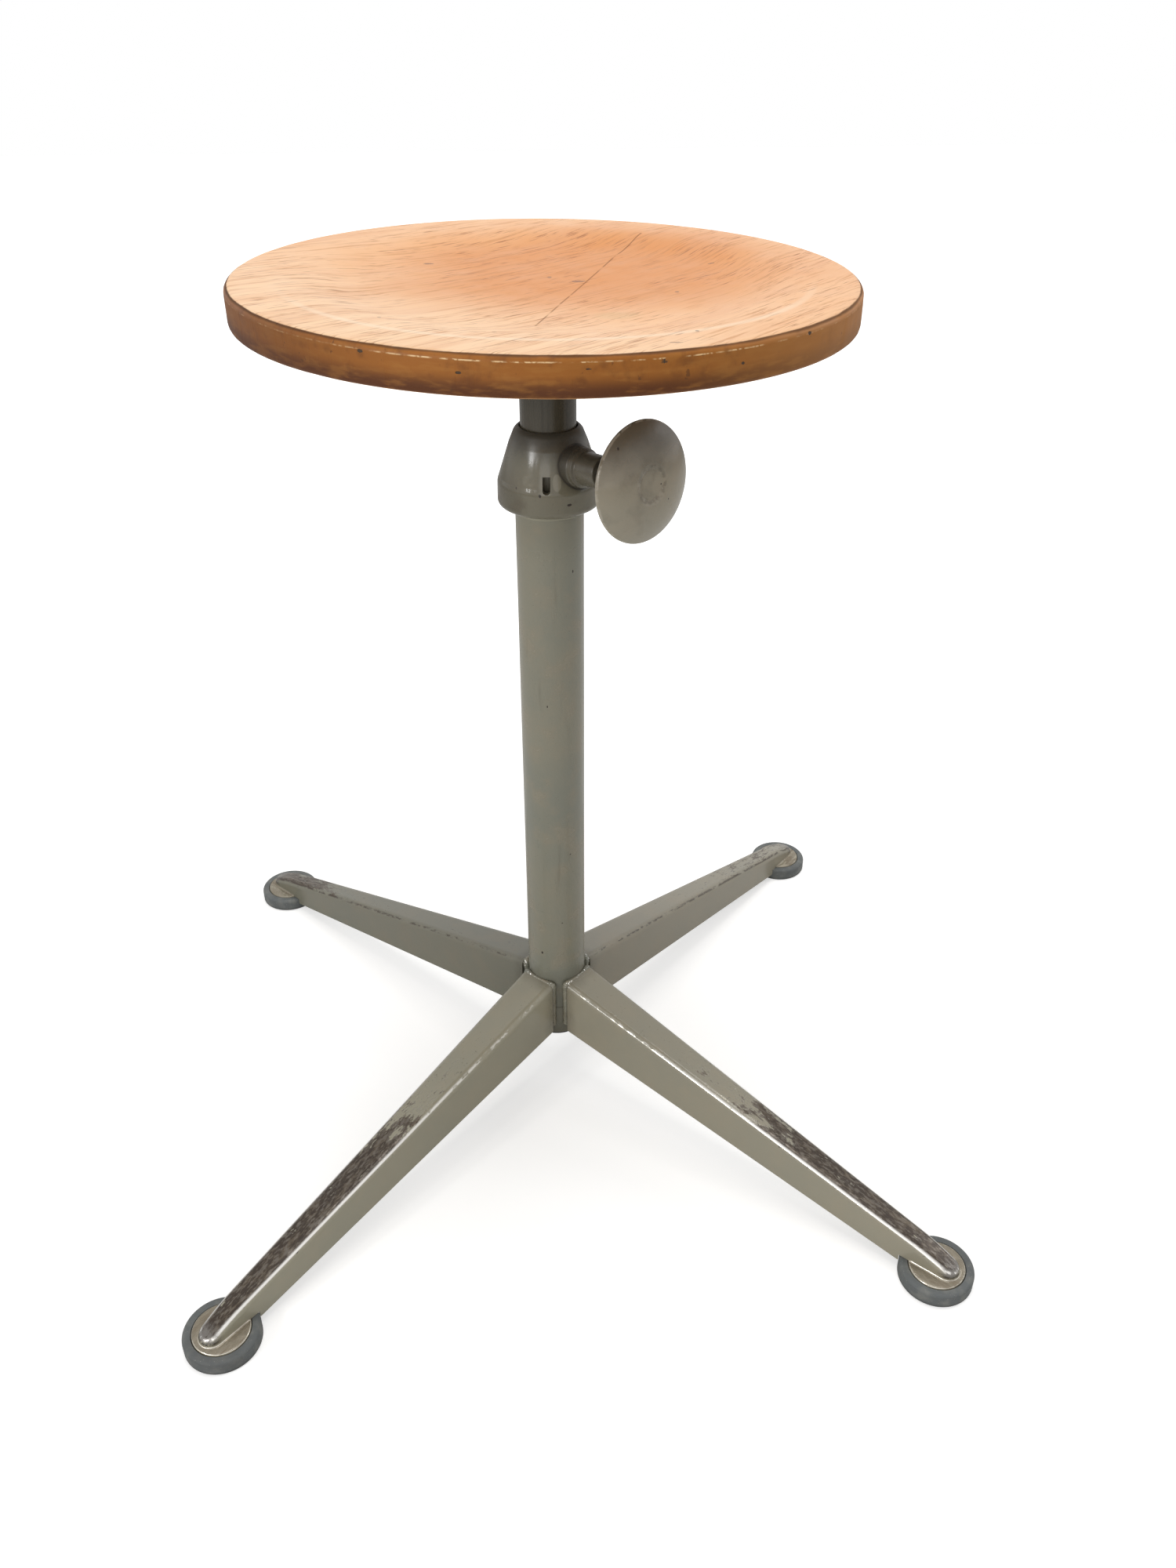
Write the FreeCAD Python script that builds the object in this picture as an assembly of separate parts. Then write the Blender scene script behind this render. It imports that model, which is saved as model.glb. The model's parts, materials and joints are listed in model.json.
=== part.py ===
import FreeCAD, Part
import math
import os

# Machinist stool. Millimetres, floor at height 0, column axis at the origin, front towards -Y.
# Every piece is one named solid, or a group of like solids, written to its own file.
# Heights are worked upwards from the floor: legs, column, clamp head, then the seat above it.

Vec = FreeCAD.Vector
UP = Vec(0, 0, 1)
CENTRE = Vec(0, 0, 0)

# Clearances, and how far a cutting form reaches past what it cuts
seat_gap = 0.3
running_gap = 0.05
press_gap = 0.1
end_gap = 0.2
overshoot = 5.0

# Column
column_radius = 21.2
column_wall = 2.6
column_bottom = 42.5
column_top = 502.0
column_bore = column_radius - column_wall
column_cap_flange = 2.0
column_cap_inset = 0.6
column_cap_depth = 12.0
column_cap_wall = 2.3
column_cap_floor = 1.0
column_cap_round = 0.8

# Round cup at the foot of each leg, and the rubber pad that takes it
foot_centre = 330.6
cup_radius = 18.7
cup_top = 11.6
cup_wall = 1.8
cup_rim_bottom = 4.0
cup_round = 1.2
cup_blend = 1.5
pad_radius = 24.75
pad_top = 10.8
pad_round = 2.4
pad_foot_round = 1.2
pad_lip_round = 0.5
pad_clearance = 0.4
pad_bore = cup_radius + pad_clearance
pad_plug_radius = cup_radius - cup_wall - pad_clearance
pad_plug_height = 4.4
pad_plug_top = cup_rim_bottom + pad_plug_height
pad_plug_round = 0.8

# Legs: a straight taper in width and height from the hub to the foot's centre
leg_directions = {"front_left": -135.0, "front_right": -45.0, "rear_right": 45.0, "rear_left": 135.0}
leg_sheet = 2.0
leg_near = 20.0
leg_far = foot_centre
leg_hub_gap = 1.4
leg_hub_end = column_radius + leg_hub_gap
leg_half_width_near = 14.9
leg_half_width_far = 8.5
leg_top_near = 95.0
leg_top_far = 23.6
leg_bottom_near = 48.8
leg_bottom_far = 2.5
leg_corner = 5.0
nose_reach = 15.2
nose_bend = 31.8
nose_rise = 4.0
nose_top = cup_top + nose_rise
nose_tip = foot_centre + nose_reach
nose_bend_start = nose_tip - nose_bend

# Weld beads between the legs and the column
bead_radius = 3.4
bead_spread = 36.0
side_bead_length = 36.0
side_bead_rise = 1.5
side_bead_root = 4.2
side_bead_far_y = 10.9
side_bead_near_y = 8.2

# Clamp head: radii of the bell's outline, with their heights above its lower end
head_height = 52.0
head_rise = 8.7
head_top = column_top + head_rise
head_bottom = head_top - head_height
bell_lip_radius = 22.3
bell_lip_height = 0.8
bell_belly_radius = 31.7
bell_belly_height = 5.5
bell_shoulder_radius = 31.4
bell_shoulder_height = 19.3
bell_neck_radius = 23.9
bell_neck_height = 42.3
bell_cap_radius = 20.6
bell_cap_height = 50.3
bell_mouth_radius = 18.5
bell_lip_round = 0.6
bell_belly_round = 4.0
bell_shoulder_round = 8.0
bell_neck_round = 10.0
bell_cap_round = 6.0
bell_wall = 4.2
core_inner_radius = 15.0
head_bore = column_radius + seat_gap
slot_width = 4.6
slot_height = 9.8
slot_rise = 19.6
slot_turn = -97.3

# Clamp axis: leaves the column axis at this height, turned and tilted; places are lengths along it
clamp_drop = 12.5
clamp_height = column_top - clamp_drop
clamp_turn = -54.1
clamp_tilt = 4.9
boss_start = 10.0
boss_radius = 12.0
boss_face = 30.5
boss_round = 1.6
sleeve_spigot_radius = 8.4
sleeve_shoulder_radius = 11.6
sleeve_shoulder = 2.6
sleeve_neck_step = 1.2
sleeve_waist_radius = 9.9
sleeve_end_radius = 9.4
sleeve_length = 19.1
sleeve_face = boss_face + sleeve_length
sleeve_start = 14.0
screw_radius = 5.0
screw_edge = 0.8
screw_bore = screw_radius + seat_gap
slug_start = 10.0
slug_end = 25.0
screw_nose_radius = 2.6
screw_nose_length = 4.4
screw_shoulder = slug_end + seat_gap
screw_nose_tip = screw_shoulder - screw_nose_length

# Post and what holds it
post_radius = 16.85
post_wall = 2.6
post_bore = post_radius - post_wall
mouth_gap = 0.85
head_mouth_bore = post_radius + mouth_gap
bush_length = 62.0
bush_bottom = column_top - bush_length
seat_rise = 120.0
seat_drop = 40.0
stop_play = 0.5
ring_height = 12.0
ring_edge = 1.0
ring_bore_edge = 0.6
ring_top = bush_bottom - seat_rise - stop_play
ring_bottom = ring_top - ring_height
foot_plug_neck = 12.8
foot_plug_radius = post_radius - mouth_gap
foot_plug_flange = 5.0
foot_plug_depth = 20.0
foot_pin_radius = 2.0
foot_pin_height = ring_top + foot_plug_depth / 2
foot_pin_inset = 0.35

# Socket, plate and board above the clamp head
socket_length = 21.8
socket_wall = 3.85
socket_bore = post_radius + seat_gap
socket_outer = socket_bore + socket_wall
socket_bottom = head_top + seat_drop + stop_play
plate_underside = socket_bottom + socket_length
plate_thickness = 3.0
plate_radius = 95.0
plate_rim_drop = 5.0
plate_round = 2.5
seat_bottom = plate_underside + plate_thickness
seat_thickness = 20.0
seat_top = seat_bottom + seat_thickness
seat_radius = 175.0
seat_edge_round = 3.2
seat_lower_round = 2.0
dish_radius = 148.0
dish_depth = 7.0
dish_flat_radius = 96.0
dish_flat_rise = 0.9

# Webs between socket and plate
web_thickness = 3.0
web_reach = 64.0
web_toe = 3.0
web_foot_rise = 4.0

# Socket bolt and nut, and the wood screws with their washers
bolt_radius = 3.0
bolt_height = plate_underside - socket_length / 2
bolt_flats_half = 5.0
bolt_head_length = 4.0
bolt_past_nut = 3.0
nut_length = 5.0
screw_circle = 62.0
wood_screw_radius = 2.1
wood_screw_depth = 7.0
wood_screw_point = 3.0
wood_screw_head_radius = 4.2
wood_screw_head_height = 3.0
wood_screw_slot_width = 1.1
wood_screw_slot_depth = 1.3
washer_radius = 6.0
washer_thickness = 1.2

# Knob: a pressed disc on a turned hub; rises are measured from its rim along the clamp axis
knob_radius = 34.6
knob_standoff = 30.9
knob_rim = sleeve_face + knob_standoff
knob_lip_radius = 33.2
knob_lip_drop = 1.3
knob_shoulder_radius = 33.7
knob_shoulder_rise = 1.7
knob_dome_radius = 24.6
knob_dome_rise = 6.4
knob_crown_rise = 8.9
dimple_radius = 12.0
dimple_floor_radius = 8.6
dimple_depth = 0.7
knob_sheet_radius = 31.4
knob_sheet = 2.4
knob_hub_radius = 9.0
knob_hub_start = sleeve_face + 3.4
knob_hub_edge = 1.0
screw_into_knob = 3.7
knob_screw_end = knob_rim + screw_into_knob
knob_pin_radius = 1.5
knob_pin_setback = 8.0
knob_pin_inset = 0.3


def vec(x, z):
    """Point in the upright plane through the X axis."""
    return Vec(x, 0, z)


def line(a, b):
    return Part.LineSegment(vec(*a), vec(*b)).toShape()


def arc(a, middle, b):
    return Part.Arc(vec(*a), vec(*middle), vec(*b)).toShape()


def rounded_edges(corners):
    """Edges of a closed outline; each corner is x, z and its rounding radius."""
    count = len(corners)
    starts, ends, arcs = [], [], []
    for index in range(count):
        x, z, radius = corners[index]
        here = vec(x, z)
        before = vec(*corners[index - 1][:2]) - here
        after = vec(*corners[(index + 1) % count][:2]) - here
        before.normalize()
        after.normalize()
        if radius <= 0:
            starts.append(here)
            ends.append(here)
            arcs.append(None)
            continue
        half = before.getAngle(after) / 2
        run = radius / math.tan(half)
        bisector = before + after
        bisector.normalize()
        first = here + before * run
        last = here + after * run
        middle = here + bisector * (radius / math.sin(half) - radius)
        starts.append(first)
        ends.append(last)
        arcs.append(Part.Arc(first, middle, last).toShape())
    edges = []
    for index in range(count):
        if arcs[index]:
            edges.append(arcs[index])
        following = starts[(index + 1) % count]
        if ends[index].distanceToPoint(following) > 1e-6:
            edges.append(Part.LineSegment(ends[index], following).toShape())
    return edges


def turned(edges):
    """Solid of revolution about the upright axis."""
    face = Part.Face(Part.Wire(Part.__sortEdges__(edges)))
    return face.revolve(CENTRE, UP, 360)


def rod(radius, low, high, x=0.0, y=0.0):
    return Part.makeCylinder(radius, high - low, Vec(x, y, low))


def cross_rod(radius, half_length, height):
    """Round bar along X, centred on the upright axis."""
    return Part.makeCylinder(radius, 2 * half_length, Vec(-half_length, 0, height), Vec(1, 0, 0))


def tube(outer, inner, low, high):
    return rod(outer, low, high).cut(rod(inner, low - overshoot, high + overshoot))


def slab(edges, thickness):
    """Upright plate with the given side outline, centred on the X axis."""
    plate = Part.Face(Part.Wire(edges)).extrude(Vec(0, thickness, 0))
    plate.translate(Vec(0, -thickness / 2, 0))
    return plate


def outline(points):
    """Straight edges of a closed outline through the points, each an x and z."""
    return [line(points[index - 1], points[index]) for index in range(len(points))]


def turn(shape, angle):
    copy = shape.copy()
    copy.rotate(CENTRE, UP, angle)
    return copy


def on_clamp_axis(shape):
    """Lays a shape built along the upright axis onto the clamp axis."""
    copy = shape.copy()
    copy.rotate(CENTRE, Vec(0, 1, 0), 90 - clamp_tilt)
    copy.rotate(CENTRE, UP, clamp_turn)
    copy.translate(Vec(0, 0, clamp_height))
    return copy


def taper(near, far, distance):
    """Value at a distance from the column, from its values at the leg's two stations."""
    return near + (far - near) * (distance - leg_near) / (leg_far - leg_near)


def leg_form(inset, hub_end):
    """Solid form of a leg along +X; inset shrinks it by the sheet thickness for the hollow."""
    lean = math.atan((leg_half_width_near - leg_half_width_far) / (leg_far - leg_near))
    # nose circle that ends at the tip and meets both sides as tangents
    width_at_tip = taper(leg_half_width_near, leg_half_width_far, nose_tip)
    nose_radius = (width_at_tip * math.cos(lean)) / (1 - math.sin(lean))
    nose_centre = nose_tip - nose_radius
    nose_radius -= inset
    side_x = nose_centre + nose_radius * math.sin(lean)
    side_y = nose_radius * math.cos(lean)
    hub_y = side_y + (side_x - hub_end) * math.tan(lean)
    left_hub = Vec(hub_end, hub_y, 0)
    left_nose = Vec(side_x, side_y, 0)
    right_hub = Vec(hub_end, -hub_y, 0)
    right_nose = Vec(side_x, -side_y, 0)
    tip = Vec(nose_centre + nose_radius, 0, 0)
    plan = Part.Wire([
        Part.LineSegment(right_hub, right_nose).toShape(),
        Part.Arc(right_nose, tip, left_nose).toShape(),
        Part.LineSegment(left_nose, left_hub).toShape(),
        Part.LineSegment(left_hub, right_hub).toShape(),
    ])
    plan_solid = Part.Face(plan).extrude(Vec(0, 0, leg_top_near + overshoot))
    # side view: sloping top that bends down towards the nose
    slope = (leg_top_near - leg_top_far) / (leg_far - leg_near)
    drop = inset / math.cos(math.atan(slope))
    bend_top = taper(leg_top_near, leg_top_far, nose_bend_start) - drop
    hub_top = taper(leg_top_near, leg_top_far, hub_end) - drop
    tip_top = nose_top - drop
    extra_fall = bend_top - slope * nose_bend - tip_top
    middle_top = bend_top - slope * nose_bend / 2 - extra_fall / 4
    end_slope = slope + 2 * extra_fall / nose_bend
    past_tip = nose_tip + leg_sheet
    past_top = tip_top - leg_sheet * end_slope
    side = [
        line((hub_end, 0), (hub_end, hub_top)),
        line((hub_end, hub_top), (nose_bend_start, bend_top)),
        arc((nose_bend_start, bend_top), (nose_bend_start + nose_bend / 2, middle_top), (nose_tip, tip_top)),
        line((nose_tip, tip_top), (past_tip, past_top)),
        line((past_tip, past_top), (past_tip, 0)),
        line((past_tip, 0), (hub_end, 0)),
    ]
    side_solid = slab(side, 4 * leg_half_width_near)
    form = plan_solid.common(side_solid).removeSplitter()
    return form.makeFillet(leg_corner - inset, rim_edges(form, hub_end, nose_centre, nose_radius, lean))


def rim_edges(form, hub_end, nose_centre, nose_radius, lean):
    """Edges where the sloping top of a leg form meets its sides and nose."""
    near_enough = leg_sheet / 40
    picked = []
    for edge in form.Edges:
        middle = edge.valueAt((edge.FirstParameter + edge.LastParameter) / 2)
        ends = [vertex.Point for vertex in edge.Vertexes]
        flat_step = math.hypot(ends[0].x - ends[-1].x, ends[0].y - ends[-1].y)
        upright = len(ends) == 2 and flat_step < near_enough
        if upright or middle.z < leg_corner or middle.x < hub_end + near_enough:
            continue
        edge_y = (nose_radius + (nose_centre - middle.x) * math.sin(lean)) / math.cos(lean)
        on_side = abs(abs(middle.y) - edge_y) < near_enough
        on_nose = abs(math.hypot(middle.x - nose_centre, middle.y) - nose_radius) < near_enough
        if on_side or (on_nose and middle.x > nose_centre):
            picked.append(edge)
    return picked


def leg_underside_cutter():
    """Everything below the sloping lower edges of a leg."""
    end_x = nose_tip + pad_radius
    hub_z = taper(leg_bottom_near, leg_bottom_far, 0)
    end_z = taper(leg_bottom_near, leg_bottom_far, end_x)
    low = end_z - column_bottom
    return slab(outline([(0, low), (0, hub_z), (end_x, end_z), (end_x, low)]), 4 * leg_half_width_near)


def cup_foot_edges(form):
    """Edges where a leg's walls stand on the flat top of its cup."""
    near_enough = leg_sheet / 40
    flat_reach = cup_radius - cup_round - near_enough
    picked = []
    for edge in form.Edges:
        height = edge.BoundBox
        if max(abs(height.ZMin - cup_top), abs(height.ZMax - cup_top)) > near_enough:
            continue
        middle = edge.valueAt((edge.FirstParameter + edge.LastParameter) / 2)
        if leg_sheet < math.hypot(middle.x - foot_centre, middle.y) < flat_reach:
            picked.append(edge)
    return picked


def leg_pressing():
    """Pressed channel with its rounded nose and round foot cup, along +X."""
    outer = leg_form(0.0, leg_hub_end)
    outer = outer.cut(leg_underside_cutter())
    outer = outer.cut(rod(pad_radius + seat_gap, -overshoot, pad_top + seat_gap, foot_centre))
    cup = turned(rounded_edges([
        (0, cup_rim_bottom, 0),
        (cup_radius, cup_rim_bottom, 0),
        (cup_radius, cup_top, cup_round),
        (0, cup_top, 0),
    ]))
    cup.translate(Vec(foot_centre, 0, 0))
    outer = outer.fuse(cup).removeSplitter()
    outer = outer.makeFillet(cup_blend, cup_foot_edges(outer))
    hollow = leg_form(leg_sheet, leg_hub_end - overshoot)
    cup_hollow = rod(cup_radius - cup_wall, -overshoot, cup_top - leg_sheet, foot_centre)
    return outer.cut(hollow).cut(cup_hollow).removeSplitter()


def foot_pad():
    """Rubber ring with a floor and a plug that fills the leg's cup."""
    pad = turned(rounded_edges([
        (0, 0, 0),
        (pad_radius, 0, pad_foot_round),
        (pad_radius, pad_top, pad_round),
        (pad_bore, pad_top, pad_lip_round),
        (pad_bore, cup_rim_bottom, 0),
        (pad_plug_radius, cup_rim_bottom, 0),
        (pad_plug_radius, pad_plug_top, pad_plug_round),
        (0, pad_plug_top, 0),
    ]))
    pad.translate(Vec(foot_centre, 0, 0))
    return pad


def column_tube():
    column = tube(column_radius, column_bore, column_bottom, column_top)
    hole = on_clamp_axis(rod(sleeve_spigot_radius + seat_gap, boss_start, column_radius + overshoot))
    return column.cut(hole)


def column_plug():
    """Push-in cap that closes the column's lower end, hollow inside."""
    flange_radius = column_radius - column_cap_inset
    flange_bottom = column_bottom - column_cap_flange
    skirt_radius = column_bore - seat_gap
    skirt_top = column_bottom + column_cap_depth
    floor_top = column_bottom + column_cap_floor
    return turned(rounded_edges([
        (0, flange_bottom, 0),
        (flange_radius, flange_bottom, column_cap_round),
        (flange_radius, column_bottom, 0),
        (skirt_radius, column_bottom, 0),
        (skirt_radius, skirt_top, column_cap_round),
        (skirt_radius - column_cap_wall, skirt_top, 0),
        (skirt_radius - column_cap_wall, floor_top, 0),
        (0, floor_top, 0),
    ]))


def guide_bush():
    """Plastic sleeve inside the column's top, in which the post slides and turns."""
    bush = tube(column_bore - press_gap, post_radius + running_gap, bush_bottom, column_top)
    return bush.cut(on_clamp_axis(rod(screw_bore + seat_gap, boss_start, column_radius + overshoot)))


def hub_welds():
    """Bead over the end of each leg's top, and two upright beads behind the leg's side walls."""
    ring_radius = column_radius + bead_radius / 2
    ring_height_here = taper(leg_top_near, leg_top_far, leg_hub_end) + end_gap
    ring = Part.makeTorus(ring_radius, bead_radius, Vec(0, 0, ring_height_here))
    reach = 3 * column_radius
    corner_x = reach * math.cos(math.radians(bead_spread))
    corner_y = reach * math.sin(math.radians(bead_spread))
    wedge = Part.Face(Part.makePolygon([
        CENTRE, Vec(corner_x, -corner_y, 0), Vec(corner_x, corner_y, 0), CENTRE,
    ])).extrude(Vec(0, 0, 2 * leg_top_near))
    near_z = taper(leg_top_near, leg_top_far, 0) + running_gap
    far_z = taper(leg_top_near, leg_top_far, reach) + running_gap
    above = near_z + leg_top_near
    over_leg = slab(outline([(0, near_z), (0, above), (reach, above), (reach, far_z)]), 2 * reach)
    core = rod(column_radius + running_gap, 0, 2 * leg_top_near)
    top_bead = ring.common(wedge).common(over_leg).cut(core)
    wall = taper(leg_half_width_near, leg_half_width_far, leg_hub_end)
    root = column_radius - side_bead_root
    side = Part.Face(Part.makePolygon([
        Vec(root, side_bead_far_y, 0),
        Vec(root + 1, side_bead_near_y, 0),
        Vec(leg_hub_end, wall - leg_sheet, 0),
        Vec(leg_hub_end, wall - 0.6 * leg_sheet, 0),
        Vec(root, side_bead_far_y, 0),
    ])).extrude(Vec(0, 0, side_bead_length))
    side.translate(Vec(0, 0, leg_bottom_near + side_bead_rise))
    side = side.cut(core)
    other = side.mirror(CENTRE, Vec(0, 1, 0))
    beads = []
    for angle in leg_directions.values():
        for piece in (top_bead, side, other):
            beads += turn(piece, angle).Solids
    return Part.makeCompound(beads)


def bell_outer():
    """Outside of the bell: thin lip, round belly, and a shoulder that closes onto the post."""
    return turned(rounded_edges([
        (0, head_bottom, 0),
        (bell_lip_radius, head_bottom, bell_lip_round / 2),
        (bell_lip_radius, head_bottom + bell_lip_height, bell_lip_round / 2),
        (bell_belly_radius, head_bottom + bell_belly_height, bell_belly_round),
        (bell_shoulder_radius, head_bottom + bell_shoulder_height, bell_shoulder_round),
        (bell_neck_radius, head_bottom + bell_neck_height, bell_neck_round),
        (bell_cap_radius, head_bottom + bell_cap_height, bell_cap_round),
        (bell_mouth_radius, head_top, bell_lip_round),
        (0, head_top, 0),
    ]))


def bell_core():
    """Cored hollow between the bell's wall and the column."""
    core_floor = head_bottom + bell_belly_height - 0.6
    core_roof = head_bottom + bell_neck_height - 7.6
    return turned(rounded_edges([
        (core_inner_radius, core_floor, 0),
        (bell_lip_radius - press_gap, core_floor, 0),
        (bell_belly_radius - bell_wall, core_floor + 3.4, 1.5),
        (bell_shoulder_radius - bell_wall, head_bottom + bell_shoulder_height - 1, 3.0),
        (bell_neck_radius - bell_wall / 3, core_roof - 2.4, 1.5),
        (core_inner_radius, core_roof, 0),
    ]))


def clamp_head():
    """Bell casting: cored inside, with a side boss for the clamp sleeve and one small slot."""
    boss = on_clamp_axis(turned(rounded_edges([
        (0, boss_start, 0),
        (boss_radius, boss_start, 0),
        (boss_radius, boss_face, boss_round),
        (0, boss_face, 0),
    ])))
    head = bell_outer().cut(bell_core()).fuse(boss)
    head = head.cut(rod(head_bore, head_bottom - overshoot, column_top))
    head = head.cut(rod(head_mouth_bore, column_top - overshoot, head_top + overshoot))
    head = head.cut(on_clamp_axis(rod(sleeve_spigot_radius + seat_gap, boss_start, boss_face + overshoot)))
    return head.cut(turn(head_slot(), slot_turn)).removeSplitter()


def head_slot():
    """Upright slot through the bell's wall, square at the top and round at the bottom."""
    half = slot_width / 2
    start = bell_lip_radius
    length = bell_belly_radius + overshoot - start
    round_centre = head_bottom + slot_rise + half
    bottom = Part.makeCylinder(half, length, Vec(start, 0, round_centre), Vec(1, 0, 0))
    shank = Part.makeBox(length, slot_width, slot_height - half, Vec(start, -half, round_centre))
    return bottom.fuse(shank)


def around_clamp(radius):
    """Upright bar on the column axis, through the height of the clamp."""
    return rod(radius, clamp_height - head_height, clamp_height + head_height)


def clamp_sleeve():
    """Turned neck: its spigot passes the bell and the column wall and so locks them together."""
    sleeve = turned(rounded_edges([
        (screw_bore, sleeve_start, 0),
        (sleeve_spigot_radius, sleeve_start, 0),
        (sleeve_spigot_radius, boss_face, 0),
        (sleeve_shoulder_radius, boss_face, 0),
        (sleeve_shoulder_radius, boss_face + sleeve_shoulder, 0.8),
        (sleeve_waist_radius, boss_face + sleeve_shoulder + sleeve_neck_step, 1.0),
        (sleeve_end_radius, sleeve_face, 1.0),
        (screw_bore, sleeve_face, 0),
    ]))
    return on_clamp_axis(sleeve).cut(around_clamp(column_bore + seat_gap))


def clamp_pad():
    """Slug with a hollowed face that bears on the post, and a socket for the screw's nose."""
    pad = rod(screw_radius, slug_start, slug_end)
    pad = pad.cut(rod(screw_nose_radius + seat_gap, screw_nose_tip - seat_gap, slug_end + overshoot))
    return on_clamp_axis(pad).cut(around_clamp(post_radius + seat_gap))


def knob_pin_place():
    return knob_hub_start + knob_pin_setback


def knob_pin_hole():
    return cross_rod(knob_pin_radius + seat_gap, 2 * knob_hub_radius, knob_pin_place())


def clamp_screw():
    screw = turned(rounded_edges([
        (0, screw_nose_tip, 0),
        (screw_nose_radius, screw_nose_tip, 0.6),
        (screw_nose_radius, screw_shoulder, 0),
        (screw_radius, screw_shoulder, screw_edge),
        (screw_radius, knob_screw_end, screw_edge),
        (0, knob_screw_end, 0),
    ]))
    return on_clamp_axis(screw.cut(knob_pin_hole()))


def clamp_knob():
    """Pressed domed disc with a shallow dimple, on a turned hub."""
    bore_end = knob_screw_end + seat_gap
    lip = (knob_lip_radius, knob_rim - knob_lip_drop)
    shoulder = (knob_shoulder_radius, knob_rim + knob_shoulder_rise)
    crown = (dimple_radius, knob_rim + knob_crown_rise)
    dimple_floor = knob_rim + knob_crown_rise - dimple_depth
    dimple_middle = ((dimple_radius + dimple_floor_radius) / 2, dimple_floor + dimple_depth * 0.6)
    dimple_edge = (dimple_floor_radius, dimple_floor)
    dimple_centre = (0, dimple_floor)
    hub_edge = (knob_hub_radius - knob_hub_edge, knob_hub_start)
    hub_side = (knob_hub_radius, knob_hub_start + knob_hub_edge)
    hub_top = (knob_hub_radius, knob_rim + knob_dome_rise - 0.4)
    inside_dome = ((knob_hub_radius + knob_dome_radius) / 2 + 4, knob_rim + knob_dome_rise - knob_sheet + 0.3)
    inside_rim = (knob_sheet_radius, knob_rim + 0.1)
    profile = [
        arc(lip, (knob_radius, knob_rim), shoulder),
        arc(shoulder, (knob_dome_radius, knob_rim + knob_dome_rise), crown),
        arc(crown, dimple_middle, dimple_edge),
        line(dimple_edge, dimple_centre),
        line(dimple_centre, (0, bore_end)),
        line((0, bore_end), (screw_bore, bore_end)),
        line((screw_bore, bore_end), (screw_bore, knob_hub_start)),
        line((screw_bore, knob_hub_start), hub_edge),
        line(hub_edge, hub_side),
        line(hub_side, hub_top),
        arc(hub_top, inside_dome, inside_rim),
        line(inside_rim, lip),
    ]
    return on_clamp_axis(turned(profile).cut(knob_pin_hole()))


def knob_pin():
    return on_clamp_axis(cross_rod(knob_pin_radius, knob_hub_radius - knob_pin_inset, knob_pin_place()))


def bolt_hole():
    return cross_rod(bolt_radius + seat_gap, 2 * socket_outer, bolt_height)


def foot_pin_hole():
    return cross_rod(foot_pin_radius + seat_gap, 2 * post_radius, foot_pin_height)


def post_tube():
    post = tube(post_radius, post_bore, ring_top + end_gap, plate_underside)
    return post.cut(bolt_hole()).cut(foot_pin_hole())


def post_foot_plug():
    """Shouldered plug in the post's lower end; the stop ring turns on its neck."""
    plug = turned(rounded_edges([
        (0, ring_bottom - foot_plug_flange, 0),
        (foot_plug_radius, ring_bottom - foot_plug_flange, 1.0),
        (foot_plug_radius, ring_bottom - end_gap, 0),
        (foot_plug_neck, ring_bottom - end_gap, 0),
        (foot_plug_neck, ring_top + end_gap, 0),
        (post_bore - seat_gap, ring_top + end_gap, 0),
        (post_bore - seat_gap, ring_top + foot_plug_depth, 1.0),
        (0, ring_top + foot_plug_depth, 0),
    ]))
    return plug.cut(foot_pin_hole())


def post_foot_pin():
    return cross_rod(foot_pin_radius, post_radius - foot_pin_inset, foot_pin_height)


def stop_ring():
    outer = column_bore - seat_gap
    inner = foot_plug_neck + seat_gap
    return turned(rounded_edges([
        (inner, ring_bottom, ring_bore_edge),
        (outer, ring_bottom, ring_edge),
        (outer, ring_top, ring_edge),
        (inner, ring_top, ring_bore_edge),
    ]))


def seat_socket():
    """Sleeve under the plate that takes the post's top."""
    sleeve = turned(rounded_edges([
        (socket_bore, socket_bottom, 0.6),
        (socket_outer, socket_bottom, 1.0),
        (socket_outer, plate_underside, 0),
        (socket_bore, plate_underside, 0),
    ]))
    return sleeve.cut(bolt_hole())


def socket_gussets():
    """Four webs between the sleeve and the plate, set between the screws."""
    start = socket_outer + end_gap
    web = slab(outline([
        (start, plate_underside),
        (start, socket_bottom + web_foot_rise),
        (start + web_toe, socket_bottom + web_foot_rise),
        (web_reach, plate_underside - web_toe),
        (web_reach, plate_underside),
    ]), web_thickness)
    return Part.makeCompound([turn(web, angle) for angle in (45, 135, 225, 315)])


def seat_plate():
    """Round plate with a downturned rim and holes for the screws."""
    rim_inside = plate_radius - plate_thickness
    plate = turned(rounded_edges([
        (0, plate_underside, 0),
        (rim_inside, plate_underside, 1.0),
        (rim_inside, plate_underside - plate_rim_drop, 0),
        (plate_radius, plate_underside - plate_rim_drop, 0),
        (plate_radius, seat_bottom, plate_round),
        (0, seat_bottom, 0),
    ]))
    hole = rod(wood_screw_radius + seat_gap + press_gap, plate_underside - overshoot, seat_bottom + overshoot)
    return plate.cut(at_screw_places(hole))


def screw_places():
    angles = [math.radians(90 * step) for step in range(4)]
    return [Vec(screw_circle * math.cos(angle), screw_circle * math.sin(angle), 0) for angle in angles]


def at_screw_places(shape):
    copies = []
    for place in screw_places():
        copy = shape.copy()
        copy.translate(place)
        copies.append(copy)
    return Part.makeCompound(copies)


def screw_washers():
    return at_screw_places(tube(
        washer_radius, wood_screw_radius + seat_gap, plate_underside - washer_thickness, plate_underside))


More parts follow.
